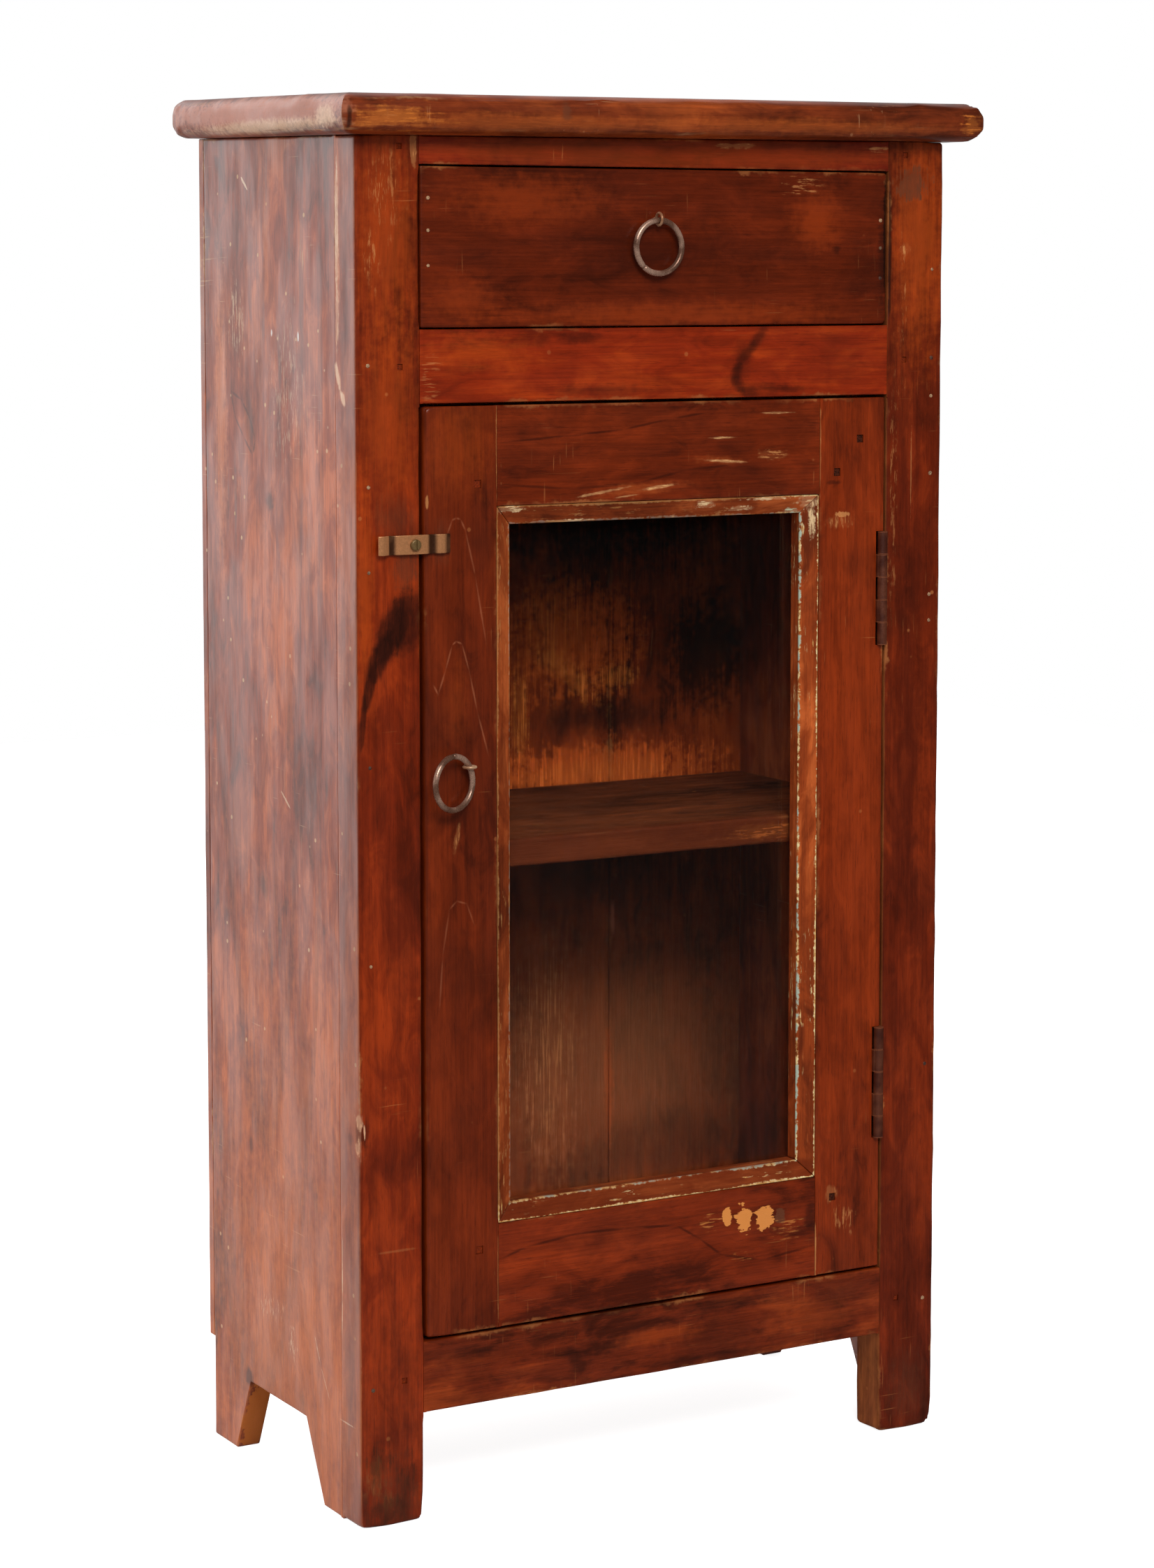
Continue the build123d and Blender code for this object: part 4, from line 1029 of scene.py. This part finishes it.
def old_metal(name, dark, bright, roughness, metallic=0.4, rims=None, crests=None):
    """Metal under a brown patina, rubbed bright in places.

    Rims, a start and a spacing, are bright upward lines; crests are the depths from dark to bright.
    """
    finish, tree, shader = new_finish(name)
    place = surface(tree)
    rubbed = between(tree, cloud(tree, place, 60, 2, 0.5), 0.42, 0.62)
    fine = cloud(tree, place, 900, 3, 0.6)
    if rims:
        height = math(tree, "SUBTRACT", split(tree, place)["Z"], rims[0])
        share = math(tree, "FRACT", math(tree, "DIVIDE", height, rims[1]))
        away = math(tree, "MINIMUM", share, rest(tree, share))
        rubbed = largest(tree, product(tree, rubbed, 0.4), between(tree, away, 0.02, 0.06, 1, 0))
    if crests:
        outward = between(tree, split(tree, place)["Y"], crests[1], crests[0], 1, 0)
        rubbed = largest(tree, product(tree, rubbed, 0.2), outward)
    colour = dimmed(tree, blend(tree, rubbed, dark, bright), between(tree, fine, 0.3, 0.7, 0.9, 1.08))
    roughness = between(tree, fine, 0.3, 0.7, roughness - 0.06, roughness + 0.08)
    feed(tree, shader, {"Base Color": colour, "Roughness": roughness, "Metallic": metallic})
    bumped(tree, shader, fine, 0.12, 0.0002)
    return finish


ring_iron = old_metal("ring_iron", tint(124, 88, 70), tint(192, 152, 130), 0.28, 0.5)
eye_iron = old_metal("eye_iron", tint(176, 122, 88), tint(232, 190, 150), 0.34)


def wire_ring(eye, radius, wire, hang, swing, joint, seed):
    """A ring of uneven wire hanging in an eye.

    hang turns it in its own plane, swing turns it about the eye, and joint is where its ends meet.
    """
    steps, sides, end_gap = 84, 12, 0.0008
    gap = end_gap / 2 / radius
    middle = eye - Vector((sin(hang), 0, cos(hang))) * radius
    places = []
    for step in range(steps + 1):
        angle = joint + gap + (2 * pi - 2 * gap) * step / steps
        way = Vector((cos(angle), 0, sin(angle)))
        end = 0.9 if step in (0, steps) else 1.0
        thick = wire * end * (1 + 0.03 * noise.noise(way * 1.6 + Vector((seed, 0, 0))))
        bow = radius * (1 + 0.008 * noise.noise(way * 1.1 + Vector((0, seed, 0))))
        for side in range(sides):
            turn = 2 * pi * side / sides
            places.append(middle + way * (bow + thick * cos(turn)) + Vector((0, thick * sin(turn), 0)))
    faces = [list(range(sides))[::-1], list(range(steps * sides, (steps + 1) * sides))]
    for step in range(steps):
        for side in range(sides):
            here, beyond = step * sides + side, step * sides + (side + 1) % sides
            faces.append([here, beyond, beyond + sides, here + sides])
    places = np.array(places)
    flat = places - np.array(eye)
    swung = flat.copy()
    swung[:, 0] = flat[:, 0] * cos(swing) - flat[:, 1] * sin(swing)
    swung[:, 1] = flat[:, 0] * sin(swing) + flat[:, 1] * cos(swing)
    return plain_form(swung + np.array(eye), faces)


ring_low, ring_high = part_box("drawer_ring")
ring_wire = (ring_high.y - ring_low.y) / 2
ring_radius = (ring_high.x - ring_low.x) / 2 - ring_wire
ring_top = Vector(((ring_low.x + ring_high.x) / 2, (ring_low.y + ring_high.y) / 2, ring_high.z - ring_wire))
drawer_ring = wire_ring(ring_top, ring_radius, ring_wire, 0, 0, radians(228), 7)
make_piece("drawer_ring_pull", [drawer_ring], ring_iron, "drawer_ring", "dark_iron", "drawer_ring")
dress("drawer_eye", eye_iron)

# Door frame: two rebated stiles and two rails, mortised, tenoned and pegged, with the hinges let into the
# right edge. Flat-sawn teak whose growth lines show as pale arches on the left and dark ones below.
door_dark, door_mid, door_light = tint(66, 19, 4), tint(108, 34, 5), tint(132, 44, 9)
door_looks = {"wear": 0.4, "grime": 0.4, "scars": 0.3, "specks": 0.25}
pale_line, dark_line = tint(196, 118, 80), tint(44, 13, 5)
upper_arch = (
    (-0.1729, 0.694), (-0.1687, 0.7045), (-0.1656, 0.706), (-0.162, 0.705), (-0.1583, 0.697),
    (-0.151, 0.667), (-0.1417, 0.615),
)
lower_arch = (
    (-0.1837, 0.591), (-0.180, 0.584), (-0.1743, 0.6005), (-0.169, 0.618), (-0.1659, 0.6205),
    (-0.1613, 0.6185), (-0.1555, 0.5985), (-0.1492, 0.570), (-0.1408, 0.540),
)
bottom_arch = (
    (-0.180, 0.361), (-0.177, 0.402), (-0.1718, 0.433), (-0.166, 0.4385), (-0.158, 0.436), (-0.152, 0.420),
)
faint = {"ragged": 0.5, "soft": 0.9, "broken": 0.2}
door_left_teak = teak(
    "door_left_teak", door_dark, tint(106, 34, 6), tint(124, 42, 9), spacing=0.02, figure=0.15, **door_looks,
    marks=(
        # Painted light on the upper and middle parts of the stile.
        front_mark(-0.163, 0.755, 0.034, 0.050, painted_light, 0.16, soft=1.0),
        front_mark(-0.166, 0.580, 0.016, 0.040, painted_light, 0.1, soft=1.0),
        *mark_line(front_mark, upper_arch, 0.0010, pale_line, 0.3, **faint),
        *mark_line(front_mark, lower_arch, 0.0010, pale_line, 0.36, **faint),
        *mark_line(front_mark, bottom_arch, 0.0010, pale_line, 0.25, **faint),
        front_mark(-0.188, 0.717, 0.0012, 0.005, scraped, 0.5),
        front_mark(-0.166, 0.482, 0.0024, 0.012, scraped, 0.5, lean=12, soft=0.6, broken=0.7),
        front_mark(-0.177, 0.690, 0.010, 0.020, hazy, 0.5, soft=0.9, broken=0.3),
        front_mark(-0.168, 0.500, 0.022, 0.012, scorch_and_shade, 0.35, soft=0.9),
        front_mark(-0.1336, 0.748, 0.0008, 0.040, scraped, 0.5, broken=0.5),
        front_mark(-0.1336, 0.168, 0.0008, 0.036, scraped, 0.4, broken=0.5),
    ),
)
door_right_teak = teak(
    "door_right_teak", door_dark, tint(126, 41, 6), tint(148, 51, 10), spacing=0.012, **door_looks,
    marks=(
        front_mark(0.155, 0.698, 0.006, 0.0022, scraped, 0.85, ragged=1.4, broken=0.3),
        front_mark(0.152, 0.693, 0.014, 0.0060, scraped, 0.5, ragged=1.6, soft=0.5, broken=0.9),
        front_mark(0.147, 0.7215, 0.009, 0.0020, scorch_and_shade, 0.5, soft=0.6),
        front_mark(0.1490, 0.1900, 0.006, 0.007, scraped, 0.6, ragged=1.6, soft=0.5, broken=0.7),
        front_mark(0.160, 0.170, 0.012, 0.014, scraped, 0.45, ragged=2.0, soft=0.6, broken=1.0),
        front_mark(0.1352, 0.748, 0.0008, 0.036, scraped, 0.5, broken=0.5),
        front_mark(0.1352, 0.150, 0.0010, 0.022, scraped, 0.7, broken=0.3),
    ),
)
long_line = ((-0.133, 0.757), (-0.073, 0.761), (-0.0327, 0.764), (0.008, 0.771), (0.040, 0.775))
low_line = ((-0.133, 0.728), (-0.073, 0.7235), (-0.0215, 0.7256), (0.020, 0.734), (0.060, 0.737))
halo, streak_core = tint(178, 82, 32), tint(238, 184, 122)
around = {"ragged": 1.2, "soft": 0.9, "broken": 0.4}
scrape = {"ragged": 1.1, "soft": 0.7, "broken": 0.6}
door_top_teak = teak(
    "door_top_teak", door_dark, door_mid, door_light, spacing=0.018, taper=0.03, **door_looks,
    marks=(
        *mark_line(front_mark, long_line, 0.0012, dark_line, 0.6, ragged=0.5, soft=0.8),
        *mark_line(front_mark, low_line, 0.0014, dark_line, 0.5, ragged=0.5, soft=0.8),
        front_mark(0.050, 0.7400, 0.026, 0.0040, halo, 0.6, lean=4, **around),
        front_mark(0.052, 0.7397, 0.022, 0.0013, streak_core, 0.85, lean=4, **scrape),
        front_mark(0.092, 0.7435, 0.014, 0.0050, scraped, 0.6, ragged=1.6, soft=0.7, broken=0.9),
        front_mark(-0.020, 0.7215, 0.050, 0.0060, halo, 0.6, lean=-4, **around),
        front_mark(-0.003, 0.7226, 0.018, 0.0015, streak_core, 0.8, lean=-6, **scrape),
        front_mark(-0.050, 0.7202, 0.024, 0.0014, streak_core, 0.85, lean=-8, **scrape),
        front_mark(-0.030, 0.7168, 0.014, 0.0008, streak_core, 0.6, lean=-6, **scrape),
        front_mark(0.0516, 0.7565, 0.013, 0.0010, streak_core, 0.7, **scrape),
        front_mark(0.0957, 0.7734, 0.016, 0.0009, streak_core, 0.55, **scrape),
    ),
)
flaked = tint(226, 142, 68)
specked = {"ragged": 1.8, "soft": 0.6, "broken": 1.0}
cathedral = (
    (-0.1316, 0.179), (-0.1106, 0.185), (-0.0697, 0.189), (-0.0198, 0.187), (0.014, 0.184), (0.0333, 0.172),
    (0.0527, 0.157), (0.0875, 0.148), (0.1316, 0.153),
)
door_bottom_teak = teak(
    "door_bottom_teak", door_dark, tint(124, 39, 6), tint(150, 51, 10), spacing=0.022, taper=0.04,
    **door_looks, marks=(
        *mark_line(front_mark, cathedral, 0.0015, dark_line, 0.6, ragged=0.5, soft=0.8),
        front_mark(0.084, 0.180, 0.040, 0.012, scorch_and_shade, 0.35, soft=0.9),
        front_mark(0.0578, 0.184, 0.0036, 0.007, flaked, 0.95, ragged=1.6, soft=0.06),
        front_mark(0.0721, 0.182, 0.006, 0.009, flaked, 0.95, ragged=1.8, soft=0.06),
        front_mark(0.0904, 0.180, 0.007, 0.008, flaked, 0.95, ragged=1.8, soft=0.06),
        front_mark(0.1040, 0.179, 0.004, 0.006, hazy, 0.9, ragged=1.4, soft=0.1),
        front_mark(0.045, 0.182, 0.016, 0.007, flaked, 0.5, **specked),
        front_mark(0.110, 0.170, 0.014, 0.009, flaked, 0.4, **specked),
        front_mark(0.072, 0.1539, 0.010, 0.004, flaked, 0.5, **specked),
        front_mark(0.131, 0.175, 0.008, 0.016, scorch_and_shade, 0.6, soft=0.8),
    ),
)
glass_low, glass_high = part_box("door_glass")
sight_low = Vector((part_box("bead_left")[0].x, face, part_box("bead_bottom")[0].z))
sight_high = Vector((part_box("bead_right")[1].x, face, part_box("bead_top")[1].z))
door_low, door_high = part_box("door_stile_left")[0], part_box("door_stile_right")[1]
lip_back = glass_high.y


def rebated(low, high, grain, seed, heart, sides, beside, chips=()):
    """A door member in two layers: the front as far as the sight edge, and the lip behind the glass."""
    front_low, front_high = low.copy(), high.copy()
    front_high.y = lip_back
    for axis, limit in sides.items():
        front_low[axis] = max(front_low[axis], limit[0])
        front_high[axis] = min(front_high[axis], limit[1])
    lip_low = low.copy()
    lip_low.y = lip_back
    front = worn_board(front_low, front_high, grain, seed, heart=heart, chips=chips, beside=beside)
    middle = (front_low + front_high) / 2
    return front, worn_board(lip_low, high, grain, seed, heart=heart, middle=middle, radius=0.0008)


stile_fronts = {
    "door_stile_left": ((door_low.x, sight_low.x), (-0.006, 0.052), door_left_teak),
    "door_stile_right": ((sight_high.x, door_high.x), (0.09, 0.1), door_right_teak),
}
rail_spans = [
    (Vector((sight_low.x, face, sight_high.z)), Vector((sight_high.x, lip_back, door_high.z))),
    (Vector((sight_low.x, face, door_low.z)), Vector((sight_high.x, lip_back, sight_low.z))),
]
latch_arris = (0.008, 0.008, 2.0)
recess_gap, past_the_edge = 0.0003, 0.01
hinge_recesses = []
for hinge in ("hinge_upper_door_leaf", "hinge_lower_door_leaf"):
    leaf_low, leaf_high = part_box(hinge)
    hinge_recesses.append((
        Vector((leaf_low.x, face - past_the_edge, leaf_low.z - recess_gap)),
        Vector((door_high.x + past_the_edge, leaf_high.y + recess_gap, leaf_high.z + recess_gap)),
    ))
for index, (node, (limit, heart, finish)) in enumerate(stile_fronts.items()):
    low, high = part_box(node)
    rounded = [((door_low.x, face, 0.45), latch_arris, 0.003)] if node == "door_stile_left" else []
    front, lip = rebated(low, high, "zxy", 51 + index, heart, {0: limit}, rail_spans, rounded)
    piece = make_piece(f"{node}_board", [front, lip], finish, "door", "teak_door", node)
    hollows = peg_holes("door_pegs", low, high)
    carve(piece, front, hollows + hinge_recesses if node == "door_stile_right" else hollows)
rail_fronts = {
    "door_top_rail": ((sight_high.z, door_high.z), (0.03, 0.12), door_top_teak),
    "door_bottom_rail": ((door_low.z, sight_low.z), (-0.06, 0.03), door_bottom_teak),
}
door_stile_spans = [
    (Vector((door_low.x, face, door_low.z)), Vector((sight_low.x, lip_back, door_high.z))),
    (Vector((sight_high.x, face, door_low.z)), Vector((door_high.x, lip_back, door_high.z))),
]
for index, (node, (limit, heart, finish)) in enumerate(rail_fronts.items()):
    low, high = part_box(node)
    low.x, high.x = sight_low.x, sight_high.x
    front, lip = rebated(low, high, "xzy", 55 + index, heart, {2: limit}, door_stile_spans)
    make_piece(f"{node}_board", [front, lip], finish, "door", "teak_door", node)
dress("door_pegs", peg_finish)

# Glass: one old drawn pane, faintly uneven, held between the rebate's lip and the beads.
# It has a slight green cast and is smeared where it was wiped.


def old_pane():
    """Clear glass with faint smears and waves, which lets the lamps' light through to the inside."""
    finish, tree, shader = new_finish("old_pane")
    place = surface(tree)
    smears = cloud(tree, scaled(tree, place, (9, 9, 4)), 1, 4, 0.6)
    feed(tree, shader, {"Roughness": between(tree, smears, 0.4, 0.75, 0.01, 0.09), "IOR": 1.5})
    feed(tree, shader, {"Base Color": (0.94, 0.96, 0.94, 1), "Transmission Weight": 0.999})
    bumped(tree, shader, cloud(tree, place, 14, 1), 0.03, 0.002)
    clear = add(tree, "ShaderNodeBsdfTransparent", {"Color": (0.9, 0.93, 0.91, 1)}).outputs[0]
    shadow_ray = add(tree, "ShaderNodeLightPath").outputs["Is Shadow Ray"]
    pane = add(tree, "ShaderNodeMixShader", {0: shadow_ray, 1: shader.outputs[0], 2: clear}).outputs[0]
    feed(tree, tree.nodes["Material Output"], {"Surface": pane})
    return finish


dress("door_glass", old_pane())

# Glazing beads: four mitred strips that slope from the door's face down to the glass and hold it in.
# Paler teak, with the remains of old cream paint along their outer edge and flecks of it at the inner one.
bead_low, bead_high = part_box("bead_left")
bead_front = bead_low.y
bead_depth = glass_low.y - bead_front
bead_width = bead_high.x - bead_low.x
bead_slope = 0.0059
cream, green_cream = tint(240, 206, 156), tint(196, 200, 164)
flaking = {"ragged": 2.4, "soft": 0.5, "broken": 0.8}
head = sight_high.z
flakes = (
    front_mark(-0.1215, head - 0.0025, 0.011, 0.0030, cream, 0.8, **flaking),
    front_mark(-0.0730, head - 0.0125, 0.024, 0.0014, cream, 0.8, **flaking),
    front_mark(0.0130, head - 0.0120, 0.002, 0.0016, cream, 0.8, **flaking),
    front_mark(0.0375, head - 0.0040, 0.009, 0.0034, cream, 0.9, lean=-5, **flaking),
    front_mark(0.0680, head - 0.0080, 0.014, 0.0022, cream, 0.8, **flaking),
    front_mark(0.0910, head - 0.0018, 0.020, 0.0014, cream, 0.8, **flaking),
    front_mark(0.1135, head - 0.0115, 0.008, 0.0030, green_cream, 0.9, **flaking),
    front_mark(0.1260, head - 0.0050, 0.009, 0.0060, cream, 0.8, **flaking),
    front_mark(0.1300, head - 0.0200, 0.003, 0.0140, cream, 0.8, **flaking),
)


def painted_bead():
    """Teak with old paint along both edges, most of it on the right bead and the lowest one."""
    finish, tree, shader = new_finish("painted_bead")
    place = surface(tree)
    grain = attribute(tree, "grain", "Vector")
    wood = place_group(tree, figure_group, {
        "Grain": grain, "Timber": attribute(tree, "timber"),
        "Dark": tint(80, 29, 11), "Mid": tint(132, 54, 20), "Light": tint(182, 88, 40),
        "Line": tint(84, 32, 14), "Spacing": 0.006, "Taper": 0.05, "Figure": 0.35, "Fine": 0.3,
    })
    across, inward = split(tree, grain)[1:]
    rightward, height = split(tree, place)["X"], split(tree, place)["Z"]
    lowest = between(tree, height, sight_low.z + 0.011, sight_low.z + 0.016, 1, 0)
    kept = largest(tree, between(tree, rightward, 0.08, 0.125, 0.3, 1), product(tree, lowest, 0.8))
    colour = dimmed(tree, wood["Color"], between(tree, rightward, 0.11, 0.125, 0.92, 1.3))
    colour = blend(tree, product(tree, lowest, 0.6), colour, tint(98, 34, 12))
    fine = centred(tree, cloud(tree, place, 240, 4, 0.68))
    patch = centred(tree, cloud(tree, place, 22, 3, 0.6))
    ragged = total(tree, product(tree, fine, 0.004), product(tree, patch, 0.004))
    outer_edge = between(tree, math(tree, "SUBTRACT", across, ragged), 0.0008, 0.0015, 1, 0)
    near_glass = total(tree, across, ragged)
    inner_edge = product(
        tree, between(tree, near_glass, bead_width - 0.0016, bead_width - 0.0006),
        between(tree, inward, 0.0012, 0.0026, 1, 0), between(tree, fine, -0.12, 0.02),
    )
    threads = drawn_out(tree, grain, 60, 420, 4, 0.7)
    flecks = product(tree, between(tree, threads, 0.58, 0.64), between(tree, patch, -0.03, 0.08))
    paint = product(tree, largest(tree, outer_edge, inner_edge, flecks), kept)
    old_cream = blend(tree, kept, tint(226, 152, 76), tint(236, 214, 160))
    old_cream = blend(tree, between(tree, fine, -0.1, 0.15), tint(206, 150, 84), old_cream)
    green = product(tree, inner_edge, between(tree, cloud(tree, place, 60, 2), 0.45, 0.55), 0.8)
    colour = blend(tree, paint, colour, blend(tree, green, old_cream, tint(150, 176, 168)))
    streak = between(tree, threads, 0.48, 0.56)
    colour = marked(tree, colour, flakes, Place=place, Rim=fine, Streak=streak)
    roughness = between(tree, paint, 0.0, 1.0, 0.45, 0.7)
    feed(tree, shader, {"Base Color": colour, "Roughness": roughness, "Specular IOR Level": 0.06})
    bumped(tree, shader, total(tree, product(tree, wood["Height"], 0.3), paint), 0.35, 0.0005)
    return finish


def bead(length, corner, along, across, seed):
    """A mitred bead of one length, from its outer corner along one axis and inwards across another."""
    size = (length, bead_width, bead_depth)
    strip = worn_board((0, 0, 0), size, "xyz", seed, heart=(0, 0), radius=0.0009, step=0.02)
    run, width, depth = strip["places"].T
    strip["grain"][:, 1] = width
    strip["grain"][:, 2] = depth
    run = run + width * (1 - 2 * run / length)
    setback = bead_slope * width / bead_width
    depth = setback + depth * (1 - setback / bead_depth)
    inward = Vector((0, 1, 0))
    moved = np.outer(run, along) + np.outer(width, across) + np.outer(depth, inward)
    strip["places"] = np.array(corner) + moved
    if Vector(along).cross(Vector(across)).dot(inward) < 0:
        strip["faces"] = [quad[::-1] for quad in strip["faces"]]
    return strip


bead_finish = painted_bead()
wide, tall = sight_high.x - sight_low.x, sight_high.z - sight_low.z
bead_runs = {
    "left": (tall, (sight_low.x, bead_front, sight_low.z), (0, 0, 1), (1, 0, 0)),
    "right": (tall, (sight_high.x, bead_front, sight_low.z), (0, 0, 1), (-1, 0, 0)),
    "top": (wide, (sight_low.x, bead_front, sight_high.z), (1, 0, 0), (0, 0, -1)),
    "bottom": (wide, (sight_low.x, bead_front, sight_low.z), (1, 0, 0), (0, 0, 1)),
}
for index, (side, run) in enumerate(bead_runs.items()):
    strip = bead(*run, 71 + index)
    make_piece(f"bead_{side}_strip", [strip], bead_finish, "door", "painted_bead", f"bead_{side}")

# Hinges: two five-knuckle iron butt hinges on loose pins, screwed between the door's edge and the stile.
# The iron has gone a dull mauve brown, rubbed pale along the rims of the knuckles.
hinge_dark, hinge_bright = tint(78, 31, 15), tint(134, 72, 44)
knuckles = 5
for hinge in ("upper", "lower"):
    leaf_low, leaf_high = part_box(f"hinge_{hinge}_frame_leaf")
    knuckle = (leaf_high.z - leaf_low.z) / knuckles
    rims = (leaf_low.z, knuckle)
    hinge_iron = old_metal(f"hinge_{hinge}", hinge_dark, hinge_bright, 0.45, 0.25, rims=rims)
    for part in ("frame_leaf", "door_leaf", "pin"):
        dress(f"hinge_{hinge}_{part}", hinge_iron)
dress("hinge_frame_screws", hinge_iron)
dress("hinge_door_screws", hinge_iron)

# Door ring: the same ring of iron wire as the drawer's, slid round in its eye so that it hangs to the left
# of it and stands off the door.
door_eye_low, door_eye_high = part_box("door_eye")
door_eye = (door_eye_low + door_eye_high) / 2
door_eye.y = ring_top.y
hang, swing, joint = radians(58), radians(19), radians(95)
door_ring = wire_ring(door_eye, ring_radius, ring_wire, hang, swing, joint, 9)
make_piece("door_ring_pull", [door_ring], ring_iron, "door_ring", "dark_iron", "door_ring")
dress("door_eye", eye_iron)

# Latch: a brass strap bent in waves, turning on a round-headed screw in the stile to reach over the door.
# Its left end is folded up as a thumb piece; the brass is tarnished brown and bright at its edges.
strap_low, strap_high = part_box("latch_strap")
strap_depths = (strap_high.y - 0.0020, strap_high.y - 0.0029)
strap_brass = old_metal("strap_brass", tint(78, 43, 24), tint(214, 146, 96), 0.34, 0.5, crests=strap_depths)
screw_brass = old_metal("screw_brass", tint(128, 100, 60), tint(176, 140, 92), 0.4)
strap_wave = (
    (-1, 0.85), (-0.86, 1), (-0.66, 0.15), (-0.42, 0.4), (0, 0.5),
    (0.3, 0.42), (0.46, 0.12), (0.74, 0.4), (1, 0),
)
strap_rise, strap_thickness = 0.004, 0.0015


def curve_through(points, at):
    """Heights at the given places on a smooth curve through a few points."""
    x, y = np.array(points).T
    slope = np.gradient(y, x)
    span = np.clip(np.searchsorted(x, at) - 1, 0, len(x) - 2)
    width = x[span + 1] - x[span]
    t = (at - x[span]) / width
    start = (1 + 2 * t) * (1 - t) ** 2 * y[span] + t * (1 - t) ** 2 * width * slope[span]
    return start + t ** 2 * (3 - 2 * t) * y[span + 1] + t ** 2 * (t - 1) * width * slope[span + 1]


strap_inner = strap_high.y
flat_low, flat_high = strap_low.copy(), strap_high.copy()
flat_low.y = strap_inner - strap_thickness
strap = worn_board(flat_low, flat_high, "xzy", 81, radius=0.0004, step=0.0016, wave=0.0001)
strap_half = (strap_high.x - strap_low.x) / 2
strap_share = (strap["places"][:, 0] - strap_low.x) / strap_half - 1
strap["places"][:, 1] -= strap_rise * curve_through(strap_wave, strap_share)
make_piece("latch_bent_strap", [strap], strap_brass, "latch", "aged_brass", "latch_strap")
dress("latch_screw", screw_brass)

# Studio: a sheet of pale floor under the cabinet, a white backdrop behind it, two soft lamps and a camera
# at the photograph's place and angle.
floor_low, floor_high = (-3.0, -0.62), (3.0, 4.0)
floor_corners = [
    (floor_low[0], floor_low[1], 0), (floor_high[0], floor_low[1], 0),
    (floor_high[0], floor_high[1], 0), (floor_low[0], floor_high[1], 0),
]
floor = put("studio_floor", new_mesh("studio_floor", floor_corners, [(0, 1, 2, 3)]))
floor.visible_glossy = False
floor_finish, floor_tree, floor_shader = new_finish("studio_floor")
seen = add(floor_tree, "ShaderNodeLightPath").outputs["Is Camera Ray"]
feed(floor_tree, floor_shader, {
    "Base Color": (0.85, 0.85, 0.85, 1), "Roughness": 0.9, "Specular IOR Level": 0.1,
    "Emission Color": (1, 1, 1, 1), "Emission Strength": product(floor_tree, seen, 0.84),
})
floor.data.materials.append(floor_finish)

world = bpy.data.worlds.new("studio")
bpy.context.scene.world = world
world.use_nodes = True
sky = world.node_tree
rays = add(sky, "ShaderNodeLightPath").outputs
direction = add(sky, "ShaderNodeTexCoord").outputs["Generated"]
sideways, towards_back, upward = split(sky, direction)
backdrop = product(sky, between(sky, towards_back, -0.1, 0.5), between(sky, upward, -0.45, 0.1, 0.6, 2.1))
backdrop = product(sky, backdrop, between(sky, sideways, -0.15, 0.3, 1, 0.3))
pale_floor = between(sky, upward, -0.35, -0.05, 0.05, 0)
pale_floor = product(sky, between(sky, towards_back, -0.1, 0.1, 1, 0), pale_floor)
mirrored = largest(sky, rays["Is Glossy Ray"], rays["Is Transmission Ray"])
white = largest(sky, rays["Is Camera Ray"], product(sky, mirrored, total(sky, backdrop, pale_floor)))
ambient = math(sky, "SUBTRACT", between(sky, towards_back, -0.6, 0.6, 0.42, 0.85), mirrored)
feed(sky, sky.nodes["Background"], {"Color": (1, 1, 1, 1), "Strength": largest(sky, white, ambient)})


def softbox(name, place, target, width, height, power):
    """A large lamp with a soft front, aimed at a point."""
    lamp = bpy.data.lights.new(name, "AREA")
    lamp.shape = "RECTANGLE"
    lamp.size, lamp.size_y = width, height
    lamp.energy = power
    holder = put(name, lamp)
    holder.location = place
    holder.rotation_euler = (Vector(target) - Vector(place)).to_track_quat("-Z", "Y").to_euler()
    holder.visible_camera = False
    return holder


softbox("key_lamp", (-0.9, -2.9, 2.7), (0, 0, 0.6), 1.6, 1.2, 75)
side_lamp = softbox("side_lamp", (-1.5, 2.0, 1.3), (-0.24, 0.0, 0.6), 2.2, 2.4, 21)
side_lamp.visible_glossy = False

camera_place = (-1.3406, -2.3381, 0.8776)
camera_tilt = 84.49
camera_turn = -29.74
photo_width, photo_height = 1652, 2244
photo_focal = 5218.9
photo_centre = (821.3, 887.2)
sensor = 36.0
lens = bpy.data.cameras.new("photo_camera")
lens.sensor_width = sensor
lens.lens = photo_focal / photo_height * sensor
lens.shift_x = (photo_width / 2 - photo_centre[0]) / photo_height
lens.shift_y = (photo_centre[1] - photo_height / 2) / photo_height
camera = put("photo_camera", lens)
camera.location = camera_place
camera.rotation_euler = (radians(camera_tilt), 0, radians(camera_turn))
bpy.context.scene.camera = camera
bpy.context.scene.view_settings.view_transform = "Standard"
